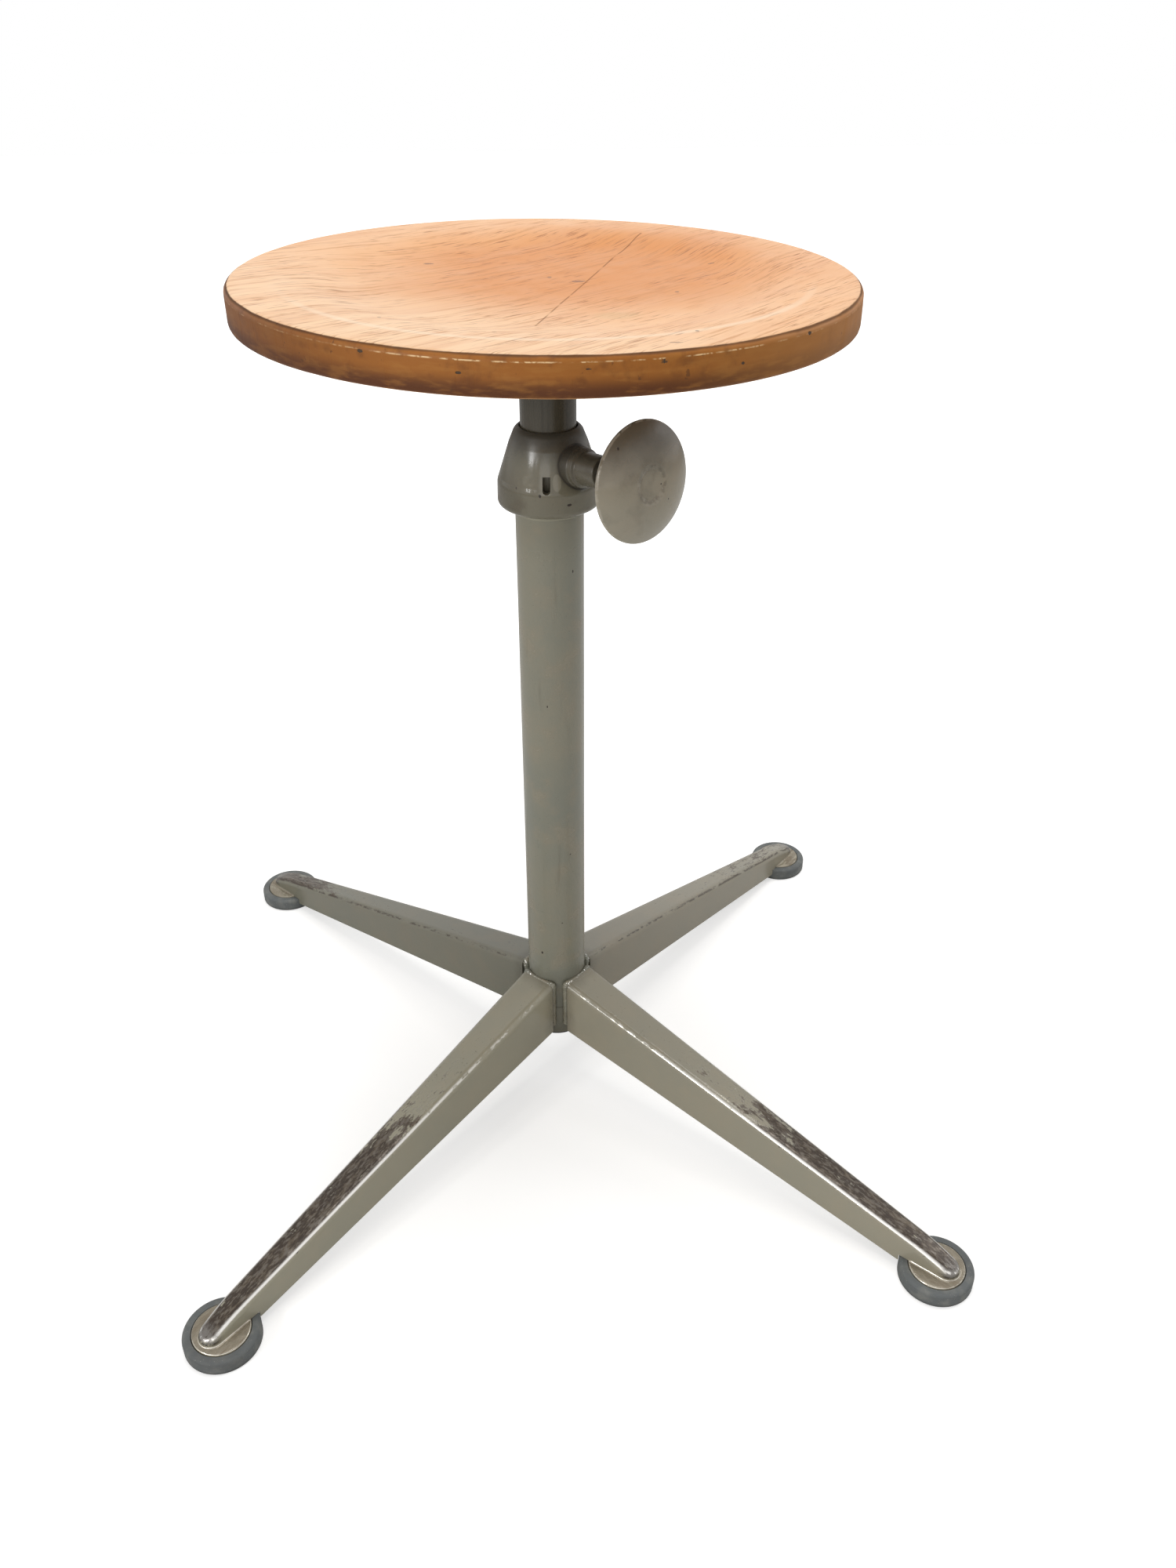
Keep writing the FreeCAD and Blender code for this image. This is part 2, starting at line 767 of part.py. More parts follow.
def seat_screws():
    """Round-headed wood screws, heads down."""
    head_base = plate_underside - washer_thickness
    head_end = head_base - wood_screw_head_height
    screw = turned(rounded_edges([
        (0, head_end, 0),
        (wood_screw_head_radius, head_end, 1.8),
        (wood_screw_head_radius, head_base, 0),
        (wood_screw_radius, head_base, 0),
        (wood_screw_radius, seat_bottom + wood_screw_depth, 0),
        (0, seat_bottom + wood_screw_depth + wood_screw_point, 0),
    ]))
    slot_length = 4 * wood_screw_head_radius
    slot_corner = Vec(-slot_length / 2, -wood_screw_slot_width / 2, head_end - end_gap)
    slot = Part.makeBox(slot_length, wood_screw_slot_width, wood_screw_slot_depth + end_gap, slot_corner)
    return at_screw_places(screw.cut(slot))


def hexagon_prism(flats_half, length):
    """Six-sided bar along X."""
    corner = flats_half / math.cos(math.radians(30))
    points = []
    for step in range(7):
        angle = math.radians(60 * step)
        points.append(Vec(0, corner * math.cos(angle), corner * math.sin(angle)))
    return Part.Face(Part.makePolygon(points)).extrude(Vec(length, 0, 0))


def socket_bolt():
    """Hexagon bolt through the sleeve and the post, along X."""
    head_seat = socket_outer + press_gap
    tail = head_seat + nut_length + bolt_past_nut
    shank = Part.makeCylinder(bolt_radius, head_seat + tail, Vec(-tail, 0, 0), Vec(1, 0, 0))
    head = hexagon_prism(bolt_flats_half, bolt_head_length)
    head.translate(Vec(head_seat, 0, 0))
    bolt = shank.fuse(head).removeSplitter()
    bolt.translate(Vec(0, 0, bolt_height))
    return bolt


def socket_nut():
    nut = hexagon_prism(bolt_flats_half, nut_length)
    nut = nut.cut(cross_rod(bolt_radius + end_gap, 2 * nut_length, 0))
    nut.translate(Vec(-socket_outer - press_gap - nut_length, 0, bolt_height))
    return nut


def seat_board():
    """Round board with rounded edges and a shallow dish in its top."""
    off_corner = 1 - math.sqrt(0.5)
    low_x = seat_radius - seat_lower_round
    low_corner = (seat_radius - seat_lower_round * off_corner, seat_bottom + seat_lower_round * off_corner)
    top_x = seat_radius - seat_edge_round
    top_z = seat_top - seat_edge_round
    top_corner = (seat_radius - seat_edge_round * off_corner, seat_top - seat_edge_round * off_corner)
    floor_z = seat_top - dish_depth
    profile = [
        line((0, seat_bottom), (low_x, seat_bottom)),
        arc((low_x, seat_bottom), low_corner, (seat_radius, seat_bottom + seat_lower_round)),
        line((seat_radius, seat_bottom + seat_lower_round), (seat_radius, top_z)),
        arc((seat_radius, top_z), top_corner, (top_x, seat_top)),
        line((top_x, seat_top), (dish_radius, seat_top)),
        dish_shoulder(floor_z),
        dish_floor(floor_z),
        line((0, floor_z), (0, seat_bottom)),
    ]
    board = turned(profile)
    pilot_top = seat_bottom + wood_screw_depth + wood_screw_point + end_gap
    pilot = rod(wood_screw_radius + seat_gap, seat_bottom - overshoot, pilot_top)
    return board.cut(at_screw_places(pilot))


def dish_shoulder(floor_z):
    """Soft shoulder from the flat rim down towards the dish."""
    pull = (dish_radius - dish_flat_radius) * 0.45
    top = Vec(dish_radius, 0, seat_top)
    low = Vec(dish_flat_radius, 0, floor_z + dish_flat_rise)
    low_pull = Vec(dish_flat_radius + pull, 0, floor_z + 2 * dish_flat_rise)
    curve = Part.BezierCurve()
    curve.setPoles([top, Vec(dish_radius - pull, 0, seat_top), low_pull, low])
    return curve.toShape()


def dish_floor(floor_z):
    """Nearly flat middle of the dish."""
    low = Vec(dish_flat_radius, 0, floor_z + dish_flat_rise)
    curve = Part.BezierCurve()
    curve.setPoles([low, Vec(dish_flat_radius / 2, 0, floor_z), Vec(0, 0, floor_z)])
    return curve.toShape()


def build_all():
    pieces = {
        "column_tube": column_tube(),
        "column_plug": column_plug(),
        "guide_bush": guide_bush(),
        "hub_welds": hub_welds(),
        "clamp_head": clamp_head(),
        "clamp_sleeve": clamp_sleeve(),
        "clamp_pad": clamp_pad(),
        "clamp_screw": clamp_screw(),
        "clamp_knob": clamp_knob(),
        "knob_pin": knob_pin(),
        "stop_ring": stop_ring(),
        "post_tube": post_tube(),
        "post_foot_plug": post_foot_plug(),
        "post_foot_pin": post_foot_pin(),
        "seat_socket": seat_socket(),
        "socket_gussets": socket_gussets(),
        "socket_bolt": socket_bolt(),
        "socket_nut": socket_nut(),
        "seat_plate": seat_plate(),
        "seat_screws": seat_screws(),
        "screw_washers": screw_washers(),
        "seat_board": seat_board(),
    }
    leg = leg_pressing()
    pad = foot_pad()
    for name, angle in leg_directions.items():
        pieces["leg_" + name] = turn(leg, angle)
        pieces["foot_pad_" + name] = turn(pad, angle)
    return pieces


os.makedirs("parts", exist_ok=True)
for node, shape in build_all().items():
    shape.exportStep("parts/" + node + ".step")
    print(node, "solids", len(shape.Solids), "valid", shape.isValid(), "volume", round(shape.Volume, 1))
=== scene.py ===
# %% [markdown]
# # A machinist's stool
# Four pressed steel legs are welded to an upright tube. A post slides and turns in that tube,
# a bell-shaped clamp head with a hand knob grips it, and a round dished board sits on top.
# The measured solids come in first as a fixed frame, and the rest only dresses them.
# Solids whose shape is already right keep it and get a finish. The board, the welds, the wood
# screws and the clamp screw are made again, because their detail is too fine for the solids.

# %% Load the frame and keep its size
import bpy
import bmesh
import json
import math
from functools import partialmethod
from mathutils import Matrix, Vector, noise


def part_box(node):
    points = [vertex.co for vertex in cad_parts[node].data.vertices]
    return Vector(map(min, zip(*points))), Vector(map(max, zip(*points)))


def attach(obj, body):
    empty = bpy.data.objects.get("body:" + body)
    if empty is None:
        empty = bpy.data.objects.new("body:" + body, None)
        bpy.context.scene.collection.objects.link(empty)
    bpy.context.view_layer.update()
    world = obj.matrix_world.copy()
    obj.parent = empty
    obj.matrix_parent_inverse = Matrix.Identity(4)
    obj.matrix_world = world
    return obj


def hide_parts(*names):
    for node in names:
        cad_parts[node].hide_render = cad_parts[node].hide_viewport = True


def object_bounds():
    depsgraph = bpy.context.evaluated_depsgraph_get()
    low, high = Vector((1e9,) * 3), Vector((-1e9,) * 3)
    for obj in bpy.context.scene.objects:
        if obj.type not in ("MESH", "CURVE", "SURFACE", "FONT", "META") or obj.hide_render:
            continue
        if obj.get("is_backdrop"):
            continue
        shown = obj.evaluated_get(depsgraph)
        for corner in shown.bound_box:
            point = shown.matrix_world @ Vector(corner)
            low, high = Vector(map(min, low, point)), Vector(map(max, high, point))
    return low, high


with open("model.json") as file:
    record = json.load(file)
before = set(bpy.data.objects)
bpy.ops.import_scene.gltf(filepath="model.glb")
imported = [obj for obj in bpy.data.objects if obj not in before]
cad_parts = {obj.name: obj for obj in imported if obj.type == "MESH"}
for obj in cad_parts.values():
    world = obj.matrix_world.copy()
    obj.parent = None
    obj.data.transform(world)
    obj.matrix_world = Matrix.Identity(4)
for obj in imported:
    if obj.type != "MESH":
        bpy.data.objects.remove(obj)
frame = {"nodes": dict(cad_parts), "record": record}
solid_box = [list(corner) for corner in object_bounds()]
print("solids loaded:", len(frame["nodes"]))
print("their box:", [[round(v, 4) for v in corner] for corner in solid_box])

# %% [markdown]
# ## Sizes
# Everything is in metres, with the floor at height 0 and the tube's axis through the origin.
# Most sizes are read back from the solids, so that the dressed pieces follow them. The others
# are the ones that a maker would put on the drawing: the legs' heights, the dish and the clamp's
# tilt. Two short functions put new objects into the scene.

# %% Sizes read from the solids
MM = 0.001
DEG = math.pi / 180


def low(node):
    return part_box(node)[0]


def high(node):
    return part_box(node)[1]


board_top = high("seat_board").z
board_bottom = low("seat_board").z
board_radius = high("seat_board").x
tube_radius = high("column_tube").x
tube_bottom = low("column_tube").z
head_bottom = low("clamp_head").z
plate_radius = high("seat_plate").x
print("radii of board, tube and plate:", board_radius, tube_radius, plate_radius)

# %% Sizes from the drawing
foot_from_axis = 330.6 * MM
leg_top_height = {"hub": 95.0 * MM, "foot": 23.6 * MM}
leg_hub_station = 20.0 * MM
dish_radius = 148 * MM
clamp_height = 489.5 * MM
clamp_turn = -54.1 * DEG
clamp_tilt = 4.9 * DEG
clamp_axis = Vector((
    math.cos(clamp_tilt) * math.cos(clamp_turn),
    math.cos(clamp_tilt) * math.sin(clamp_turn),
    math.sin(clamp_tilt),
))
clamp_origin = Vector((0, 0, clamp_height))
print("clamp axis", [round(v, 4) for v in clamp_axis])

# %% Objects


def add_object(name, data):
    """Puts data into the scene as an object at the origin."""
    made = bpy.data.objects.new(name, data)
    bpy.context.collection.objects.link(made)
    return made


def add_smooth(name, mesh):
    """The same for a mesh, shaded smooth."""
    for face in mesh.polygons:
        face.use_smooth = True
    return add_object(name, mesh)


# %% [markdown]
# ## Camera
# The picture is upright, 1500 by 2000, taken from just above seat height and rather close, so
# the board looks wide and the feet look small. The camera was worked out from the ellipses of
# the board and the feet and from the legs' directions. A close camera with a short lens gives
# the right taper from top to bottom, which no distant camera can copy.

# %% Camera
picture_height = 2000
focal_in_pixels = 1628.63
camera_place = Vector((-53.8, -750.9, 739.1)) * MM
camera_turn = 5.911 * DEG
camera_dip = 32.612 * DEG
camera_roll = 0.063 * DEG

camera_data = bpy.data.cameras.new("camera")
camera_data.sensor_fit = "VERTICAL"
camera_data.sensor_height = 36
camera_data.lens = focal_in_pixels / picture_height * camera_data.sensor_height
camera_data.clip_start = 0.05
camera = add_object("camera", camera_data)
aim = Vector((
    math.sin(camera_turn) * math.cos(camera_dip),
    math.cos(camera_turn) * math.cos(camera_dip),
    -math.sin(camera_dip),
))
upright = aim.to_track_quat("-Z", "Y").to_matrix()
camera.rotation_euler = (upright @ Matrix.Rotation(camera_roll, 3, "Z")).to_euler()
camera.location = camera_place
bpy.context.scene.camera = camera
print("camera lens", round(camera_data.lens, 2), "mm")

# %% [markdown]
# ## Node sums
# A finish is mostly arithmetic on places: how far a point is from an edge, how deep in a groove.
# Node graphs hide that, so a small class wraps a socket and lets the sums be written as sums.
# Another class adds a node to a tree, and finishes and shapes both build on it. Colours never
# pass through a Math node, which would turn them grey, so they have their own mix.

# %% Signals and graphs


class Signal:
    """A socket that carries a number, a vector or a shape, with the usual operators."""

    def __init__(self, graph, socket):
        self.graph = graph
        self.socket = socket

    def sum(self, operation, *others):
        return self.graph.node("ShaderNodeMath", self, *others, operation=operation)

    def __rsub__(self, other):
        return self.graph.node("ShaderNodeMath", other, self, operation="SUBTRACT")

    __add__ = __radd__ = partialmethod(sum, "ADD")
    __sub__ = partialmethod(sum, "SUBTRACT")
    __mul__ = __rmul__ = partialmethod(sum, "MULTIPLY")
    __truediv__ = partialmethod(sum, "DIVIDE")
    __pow__ = partialmethod(sum, "POWER")
    size = partialmethod(sum, "ABSOLUTE")
    most = partialmethod(sum, "MAXIMUM")
    least = partialmethod(sum, "MINIMUM")

    def rise(self, start, end):
        """Goes softly from 0 at start to 1 at end; start may be the larger one."""
        if start > end:
            return 1 - self.rise(end, start)
        sockets = {"Value": self, "From_Min": start, "From_Max": end}
        return self.graph.node("ShaderNodeMapRange", interpolation_type="SMOOTHSTEP", **sockets)

    def rise_mm(self, start, end):
        return self.rise(start * MM, end * MM)


class Graph:
    """A node tree while it is being made."""

    def __init__(self, tree):
        self.tree = tree
        self.tree.nodes.clear()

    def fill(self, made, pairs):
        """Links or sets sockets by name or number; a list goes into one socket, None leaves it."""
        for key, value in pairs:
            socket = made.inputs[key.replace("_", " ") if isinstance(key, str) else key]
            for part in value if isinstance(value, list) else [value]:
                if isinstance(part, Signal):
                    self.tree.links.new(part.socket, socket)
                elif part is not None:
                    socket.default_value = part

    def node(self, kind, *inputs, output=0, **named):
        """Adds a node; names in small letters are settings, the others are sockets."""
        made = self.tree.nodes.new(kind)
        for name, value in named.items():
            if name.islower():
                setattr(made, name, value)
        self.fill(made, enumerate(inputs))
        self.fill(made, [pair for pair in named.items() if not pair[0].islower()])
        return Signal(self, made.outputs[output]) if len(made.outputs) else None

    def vector(self, *parts):
        return self.node("ShaderNodeCombineXYZ", *parts)

    def split(self, vector):
        """The x, y and z of a vector."""
        parts = self.node("ShaderNodeSeparateXYZ", vector).socket.node.outputs
        return [Signal(self, parts[axis]) for axis in "XYZ"]


def paint(red, green, blue):
    """A colour given as it looks on a screen, 0 to 255, as the linear numbers a shader takes."""
    shades = []
    for value in (red, green, blue):
        part = value / 255
        shades.append(part / 12.92 if part <= 0.04045 else ((part + 0.055) / 1.055) ** 2.4)
    return (*shades, 1.0)


print("putty in linear numbers:", [round(part, 3) for part in paint(152, 148, 130)])

# %% Finishes


class Finish(Graph):
    """One material while it is being made, with the nodes that nearly every finish uses."""

    def __init__(self, name):
        self.material = bpy.data.materials.new(name)
        self.material.use_nodes = True
        super().__init__(self.material.node_tree)
        self.shader = self.tree.nodes.new("ShaderNodeBsdfPrincipled")
        self.node("ShaderNodeOutputMaterial", Signal(self, self.shader.outputs["BSDF"]))
        self.place = self.node("ShaderNodeTexCoord", output="Object")
        self.x, self.y, self.z = self.split(self.place)
        self.facing_up = self.split(self.node("ShaderNodeNewGeometry", output="Normal"))[2]

    def noise(self, scale, detail=2.0, shift=0.0, at=None, rough=0.5):
        """Soft random value about 0.5; scale is in waves a metre."""
        sockets = {"Vector": at or self.place, "Scale": scale, "Detail": detail, "W": shift}
        settings = {"noise_dimensions": "4D", "output": "Fac"}
        return self.node("ShaderNodeTexNoise", Roughness=rough, **sockets, **settings)

    def cells(self, scale):
        """Distance to the nearest of many scattered points."""
        return self.node("ShaderNodeTexVoronoi", Vector=self.place, Scale=scale, output="Distance")

    def mix(self, amount, first, second):
        """The first colour where amount is 0, the second where it is 1."""
        for_numbers_and_vectors = [None] * 5
        sockets = [amount, *for_numbers_and_vectors, first, second]
        return self.node("ShaderNodeMix", *sockets, data_type="RGBA", output=2)

    def layers(self, color, *coats):
        """Lays coats over a colour; each has its amount and its own colour."""
        for amount, coat in coats:
            color = self.mix(amount, color, coat)
        return color

    def vectors(self, operation, *parts, output=0):
        return self.node("ShaderNodeVectorMath", *parts, operation=operation, output=output)

    def length(self, vector):
        return self.vectors("LENGTH", vector, output="Value")

    def distance(self, point, stretch=(1, 1, 1)):
        """Distance from a point in millimetres, shorter along axes with a stretch above 1."""
        moved = self.vectors("SUBTRACT", self.place, tuple(value * MM for value in point))
        return self.length(self.vectors("MULTIPLY", moved, tuple(1 / value for value in stretch)))

    def spots(self, places, rag=0.35):
        """A ragged mask over chips; each is x, y, z, radius in millimetres, maybe a stretch."""
        wobble = (self.noise(900, 2, 3.1) - 0.5) * rag * 2
        total = None
        for x, y, z, radius, *stretch in places:
            edge = self.distance((x, y, z), *stretch) / (radius * MM) + wobble
            spot = edge.rise(1.1, 0.85)
            total = spot if total is None else total.most(spot)
        return total

    def bump(self, height, strength):
        return self.node("ShaderNodeBump", Height=height, Distance=MM, Strength=strength)

    def finish(self, color, roughness, metallic=0.0, bend=None, **others):
        """Fills the shader; whatever is the same all over is a number on its own socket."""
        others.update({"Base Color": color, "Roughness": roughness, "Metallic": metallic})
        self.fill(self.shader, [*others.items(), ("Normal", bend)])
        print("finish", self.material.name, "nodes", len(self.tree.nodes))
        return self.material


print("finishes read Object places")

# %% [markdown]
# ## Floor, surroundings and lamps
# The stool stands on white with only faint shadows. The surroundings are white to the camera and
# to anything that reflects or lets light through, but give a plain soft light to dull surfaces.
# The floor is an ordinary pale surface that takes the shadow, lifted to white for the camera only.
# One large soft lamp overhead lights the board and leaves the head in the board's shade, and the
# panes of a low window on the left give the bright upright points on the bell and the knob.

# %% Surroundings
dull_light = 0.34
surroundings = bpy.data.worlds.new("surroundings")
bpy.context.scene.world = surroundings
surroundings.use_nodes = True
sky = Graph(surroundings.node_tree)
seen = 0.0
for kind in ("Camera", "Transmission", "Glossy"):
    seen = sky.node("ShaderNodeLightPath", output=f"Is {kind} Ray") + seen
level = sky.node("ShaderNodeMapRange", Value=seen, To_Min=dull_light, To_Max=1.0)
background = sky.node("ShaderNodeBackground", Color=(1, 1, 1, 1), Strength=level)
sky.node("ShaderNodeOutputWorld", Surface=background)
print("surroundings at", dull_light)

# %% Floor
floor_reach = 6.0
floor_lift = {"near": 0.55, "far": 1.0}
floor_mesh = bpy.data.meshes.new("floor")
corners = [(x * floor_reach, y * floor_reach, 0) for x, y in ((-1, -1), (1, -1), (1, 1), (-1, 1))]
floor_mesh.from_pydata(corners, [], [(0, 1, 2, 3)])
floor = add_object("floor", floor_mesh)
floor.location.z = -0.2 * MM
floor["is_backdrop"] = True

white_floor = Finish("white_floor")
camera_only = white_floor.node("ShaderNodeLightPath", output="Is Camera Ray")
away = white_floor.distance((0, 0, 0)).rise(0.50, 1.0)
lift = away * (floor_lift["far"] - floor_lift["near"]) + floor_lift["near"]
fixed = {"Specular_IOR_Level": 0.1, "Emission_Color": (1, 1, 1, 1)}
glow = camera_only * lift
white_floor.finish(paint(236, 235, 233), 0.9, Emission_Strength=glow, **fixed)
floor_mesh.materials.append(white_floor.material)

# %% Lamps


def soft_lamp(name, place, towards, size, watts, tall=1.0):
    data = bpy.data.lights.new(name, "AREA")
    data.shape = "ELLIPSE"
    data.size = size
    data.size_y = size * tall
    data.energy = watts
    lamp = add_object(name, data)
    lamp.location = place
    lamp.rotation_euler = (Vector(towards) - Vector(place)).to_track_quat("-Z", "Y").to_euler()


soft_lamp("overhead", (0.15, 0.25, 2.3), (0, 0, 0.5), 1.3, 20)
soft_lamp("front_fill", (-0.6, -2.4, 0.9), (0, 0, 0.2), 1.2, 4)
soft_lamp("right_edge", (1.9, 0.5, 1.5), (0, 0, 0.4), 0.8, 6)
window_panes = ((-145 * DEG, 0.18, 8), (-138.5 * DEG, 0.16, 6), (-127 * DEG, 0.07, 1.3))
window_away, window_height = 2.4, 1.28
for number, (bearing, size, watts) in enumerate(window_panes):
    place = (window_away * math.cos(bearing), window_away * math.sin(bearing), window_height)
    soft_lamp(f"window_{number}", place, (0, 0, 0.5), size, watts, tall=2.2)
print("lamps:", len(bpy.data.lights))

# %% [markdown]
# ## Enamel
# All the steelwork was sprayed with the same putty-coloured enamel. It is half glossy, a little
# uneven like orange skin, and decades of use have left faint stains, specks of dirt and small
# chips that show the dark primer. A ground coat is shared, and each piece adds its own damage,
# and several add painted light and shade as well.

# %% Enamel ground coat
putty = paint(152, 148, 130)
putty_warm = paint(162, 150, 128)
putty_grey = paint(140, 141, 128)
primer_brown = paint(46, 36, 27)
# This grime brown also darkens where dirt mixes with painted shade, as round the welds.
grime_and_shade_brown = paint(66, 56, 40)
bright_steel = paint(236, 233, 228)


def enamel_ground(name, seed, gloss=0.20):
    """Starts an enamel finish: its colour, roughness and height before any damage."""
    coat = Finish(name)
    drift = coat.noise(14, 3, seed)
    blotch = coat.noise(55, 4, seed + 5)
    speck = coat.noise(1100, 1, seed + 9)
    coat.color = coat.mix(drift.rise(0.38, 0.62), putty, putty_grey)
    tint(coat, blotch.rise(0.45, 0.70) * 0.7, putty_warm)
    tint(coat, speck.rise(0.70, 0.76) * 0.5, grime_and_shade_brown)
    coat.roughness = blotch * 0.12 + gloss
    coat.height = coat.noise(520, 2, seed + 2) * 0.03 + coat.noise(90, 2, seed + 3) * 0.10
    coat.metal = 0.0
    return coat


def tint(coat, amount, color):
    """Another colour over the enamel, as glossy as before."""
    coat.color = coat.mix(amount, coat.color, color)


def dirt_and_shade(coat, amount, color=grime_and_shade_brown):
    """Darkens the enamel, dull and flat: used for dirt and for painted shade."""
    tint(coat, amount, color)
    coat.roughness = coat.roughness + amount * 0.3


def chip(coat, amount, color=primer_brown):
    """Lost enamel: primer shows, a coat's thickness lower."""
    tint(coat, amount, color)
    coat.roughness = coat.roughness + amount * 0.2
    coat.height = coat.height - amount * 0.12


def bare(coat, amount, color):
    """Steel rubbed bright."""
    tint(coat, amount, color)
    coat.metal = amount if isinstance(coat.metal, float) else coat.metal.most(amount)
    coat.height = coat.height - amount * 0.06


def enamel_done(coat):
    return coat.finish(coat.color, coat.roughness, coat.metal, coat.bump(coat.height, 0.6))


# %% [markdown]
# ## Enamel on the tube and the head
# The tube carries grime at its foot, painted shade just under the head, and grime with painted
# shade round the welds. The bell is a casting: painted shade from the board darkens it, most over
# the shoulder, and painted shade lies down its left side, round the boss and in the groove there.
# Its lower lip is rubbed pale, and it has a few chips where tools have struck it.

# %% Tube finish
hub_height = 96 * MM
leg_underside = 68.1 * MM
column_chips = [
    (-11.9, -17.5, 120.4, 0.8, (1, 1, 1.4)),
    (12.6, -17.1, 424.0, 0.7, (0.7, 1, 1.6)),
    (9.5, -19.0, 210.0, 0.5),
    (-5.0, -20.6, 331.0, 0.4, (1, 1, 2.0)),
    (3.0, -21.0, 150.0, 0.5),
]


def column_enamel():
    coat = enamel_ground("enamel_column", 1.0)
    ragged = (coat.noise(160, 4, 2.0) - 0.5) * 14 * MM
    # Grime round the welds, mixed with painted shade where the legs meet the tube.
    near_weld = (coat.z + ragged).rise(hub_height + 14 * MM, hub_height - 2 * MM)
    at_foot = (coat.z + ragged).rise(tube_bottom + 18 * MM, tube_bottom + 2 * MM)
    dirt_and_shade(coat, near_weld * 0.30)
    dirt_and_shade(coat, at_foot * 0.5, paint(60, 50, 36))
    tint(coat, 0.35, paint(128, 127, 112))
    runs = coat.noise(1, 3, 8.0, at=coat.vector(coat.x * 160, coat.y * 160, coat.z * 14))
    dirt_and_shade(coat, runs.rise(0.60, 0.76) * 0.3, paint(104, 98, 82))
    # Painted shade: the tube is darker just under the bell, in the shade of the board and bell.
    shade_under_head = coat.z.rise(head_bottom - 34 * MM, head_bottom - 2 * MM)
    dirt_and_shade(coat, shade_under_head * 0.22, paint(92, 88, 72))
    ring = (coat.z - leg_underside).size().rise_mm(0.9, 0.2)
    dirt_and_shade(coat, ring * 0.5)
    chip(coat, coat.spots(column_chips))
    return enamel_done(coat)


# %% Head finish


boss_radius = 12.5 * MM
cone_middle = 497 * MM


def from_clamp_axis(coat):
    """How far a point is from the clamp's axis, and how far along it from the tube's axis."""
    offset = coat.vectors("SUBTRACT", coat.place, tuple(clamp_origin))
    sideways = coat.vectors("CROSS_PRODUCT", offset, tuple(clamp_axis))
    along = coat.vectors("DOT_PRODUCT", offset, tuple(clamp_axis), output="Value")
    return coat.length(sideways), along


head_chips = [
    (-7.8, -30.4, 477.6, 0.75, (1, 1, 1.5)),
    (9.7, -30.0, 471.6, 1.0, (1.5, 1, 0.8)),
    (3.0, -31.0, 469.0, 0.45),
    (-18.0, -25.0, 470.0, 0.6),
    (-21.0, -22.0, 480.0, 0.5, (1, 1, 1.8)),
    (15.6, -25.4, 482.5, 0.9, (1.6, 1.6, 0.8)),
]


def head_enamel():
    """The bell: darkened by painted shade under the board, nearly black-brown at the top, with
    painted shade round the boss and pale along the lip.
    """
    coat = enamel_ground("enamel_head", 20.0, gloss=0.05)
    ragged = (coat.noise(240, 4, 4.0) - 0.5) * 6 * MM
    cloud = coat.noise(60, 4, 9.0)
    # Painted shade: the whole bell is darker than the same enamel elsewhere, being under the
    # board.
    tint(coat, 0.72, paint(104, 100, 84))
    shoulder = (coat.z + ragged).rise_mm(490, 508)
    lip = (coat.z + ragged * 0.4).rise_mm(462.0, 459.5)
    # Painted shade: the shoulder goes nearly black-brown in the board's shadow.
    dirt_and_shade(coat, shoulder * 0.85, paint(34, 27, 19))
    coat.roughness = coat.roughness + coat.z.rise_mm(502, 508) * 0.16
    # Painted shade down the bell's left side.
    dirt_and_shade(coat, (coat.x + ragged).rise_mm(-13, -27) * 0.42, paint(64, 58, 46))
    dirt_and_shade(coat, cloud.rise(0.50, 0.66) * 0.35, paint(84, 72, 56))
    tint(coat, lip * 0.5, paint(176, 172, 152))
    boss, towards_knob = from_clamp_axis(coat)
    near_knob = towards_knob.rise_mm(16, 24)
    # Painted shade round the boss, darkest in the groove at its edge.
    shade_around_boss = (boss + ragged * 0.4).rise_mm(17, 12.2) * near_knob
    dirt_and_shade(coat, shade_around_boss * 0.40, paint(44, 34, 26))
    groove_shade = (boss - boss_radius).size().rise_mm(0.9, 0.3) * near_knob
    dirt_and_shade(coat, groove_shade * 0.7, paint(30, 24, 18))
    up_cone = (coat.z - cone_middle) / (10 * MM)
    coat.height = coat.height - (up_cone * up_cone).least(2.5) * 0.45
    rubbed = coat.distance((-14.3, -25.8, 485.9)).rise_mm(5, 1.5) * cloud.rise(0.40, 0.55)
    tint(coat, rubbed * 0.5, paint(180, 176, 162))
    patch = coat.distance((2.5, -29.3, 485.0), (0.8, 1, 1.7)).rise_mm(3.6, 2.8)
    tint(coat, patch * 0.30, paint(180, 174, 158))
    chip(coat, coat.spots(head_chips))
    return enamel_done(coat)


# %% Sleeve, post and bracket finish


def plain_enamel(name, seed, darker=0.0, pits=0.0):
    coat = enamel_ground(name, seed)
    dirt_and_shade(coat, coat.noise(120, 4, seed + 1).rise(0.5, 0.8) * (0.25 + darker))
    if pits:
        chip(coat, coat.cells(180).rise(pits, pits * 0.5))
        sparks = coat.noise(620, 2, seed + 3).rise(0.60, 0.66) * coat.z.rise_mm(86, 91)
        bare(coat, sparks, bright_steel)
    return enamel_done(coat)


def post_enamel():
    """The sliding post: darkened by painted shade under the board, with fine upright lines that
    clamp and bush have polished into the enamel.
    """
    coat = enamel_ground("enamel_post", 41.0)
    lines = coat.noise(1, 4, 3.0, at=coat.vector(coat.x * 700, coat.y * 700, coat.z * 12))
    # Painted shade: the post is much darker than the same enamel, in the board's shadow.
    tint(coat, 0.90, paint(58, 51, 38))
    dirt_and_shade(coat, lines.rise(0.52, 0.66) * 0.5, paint(44, 38, 28))
    coat.height = coat.height + lines * 0.1
    return enamel_done(coat)


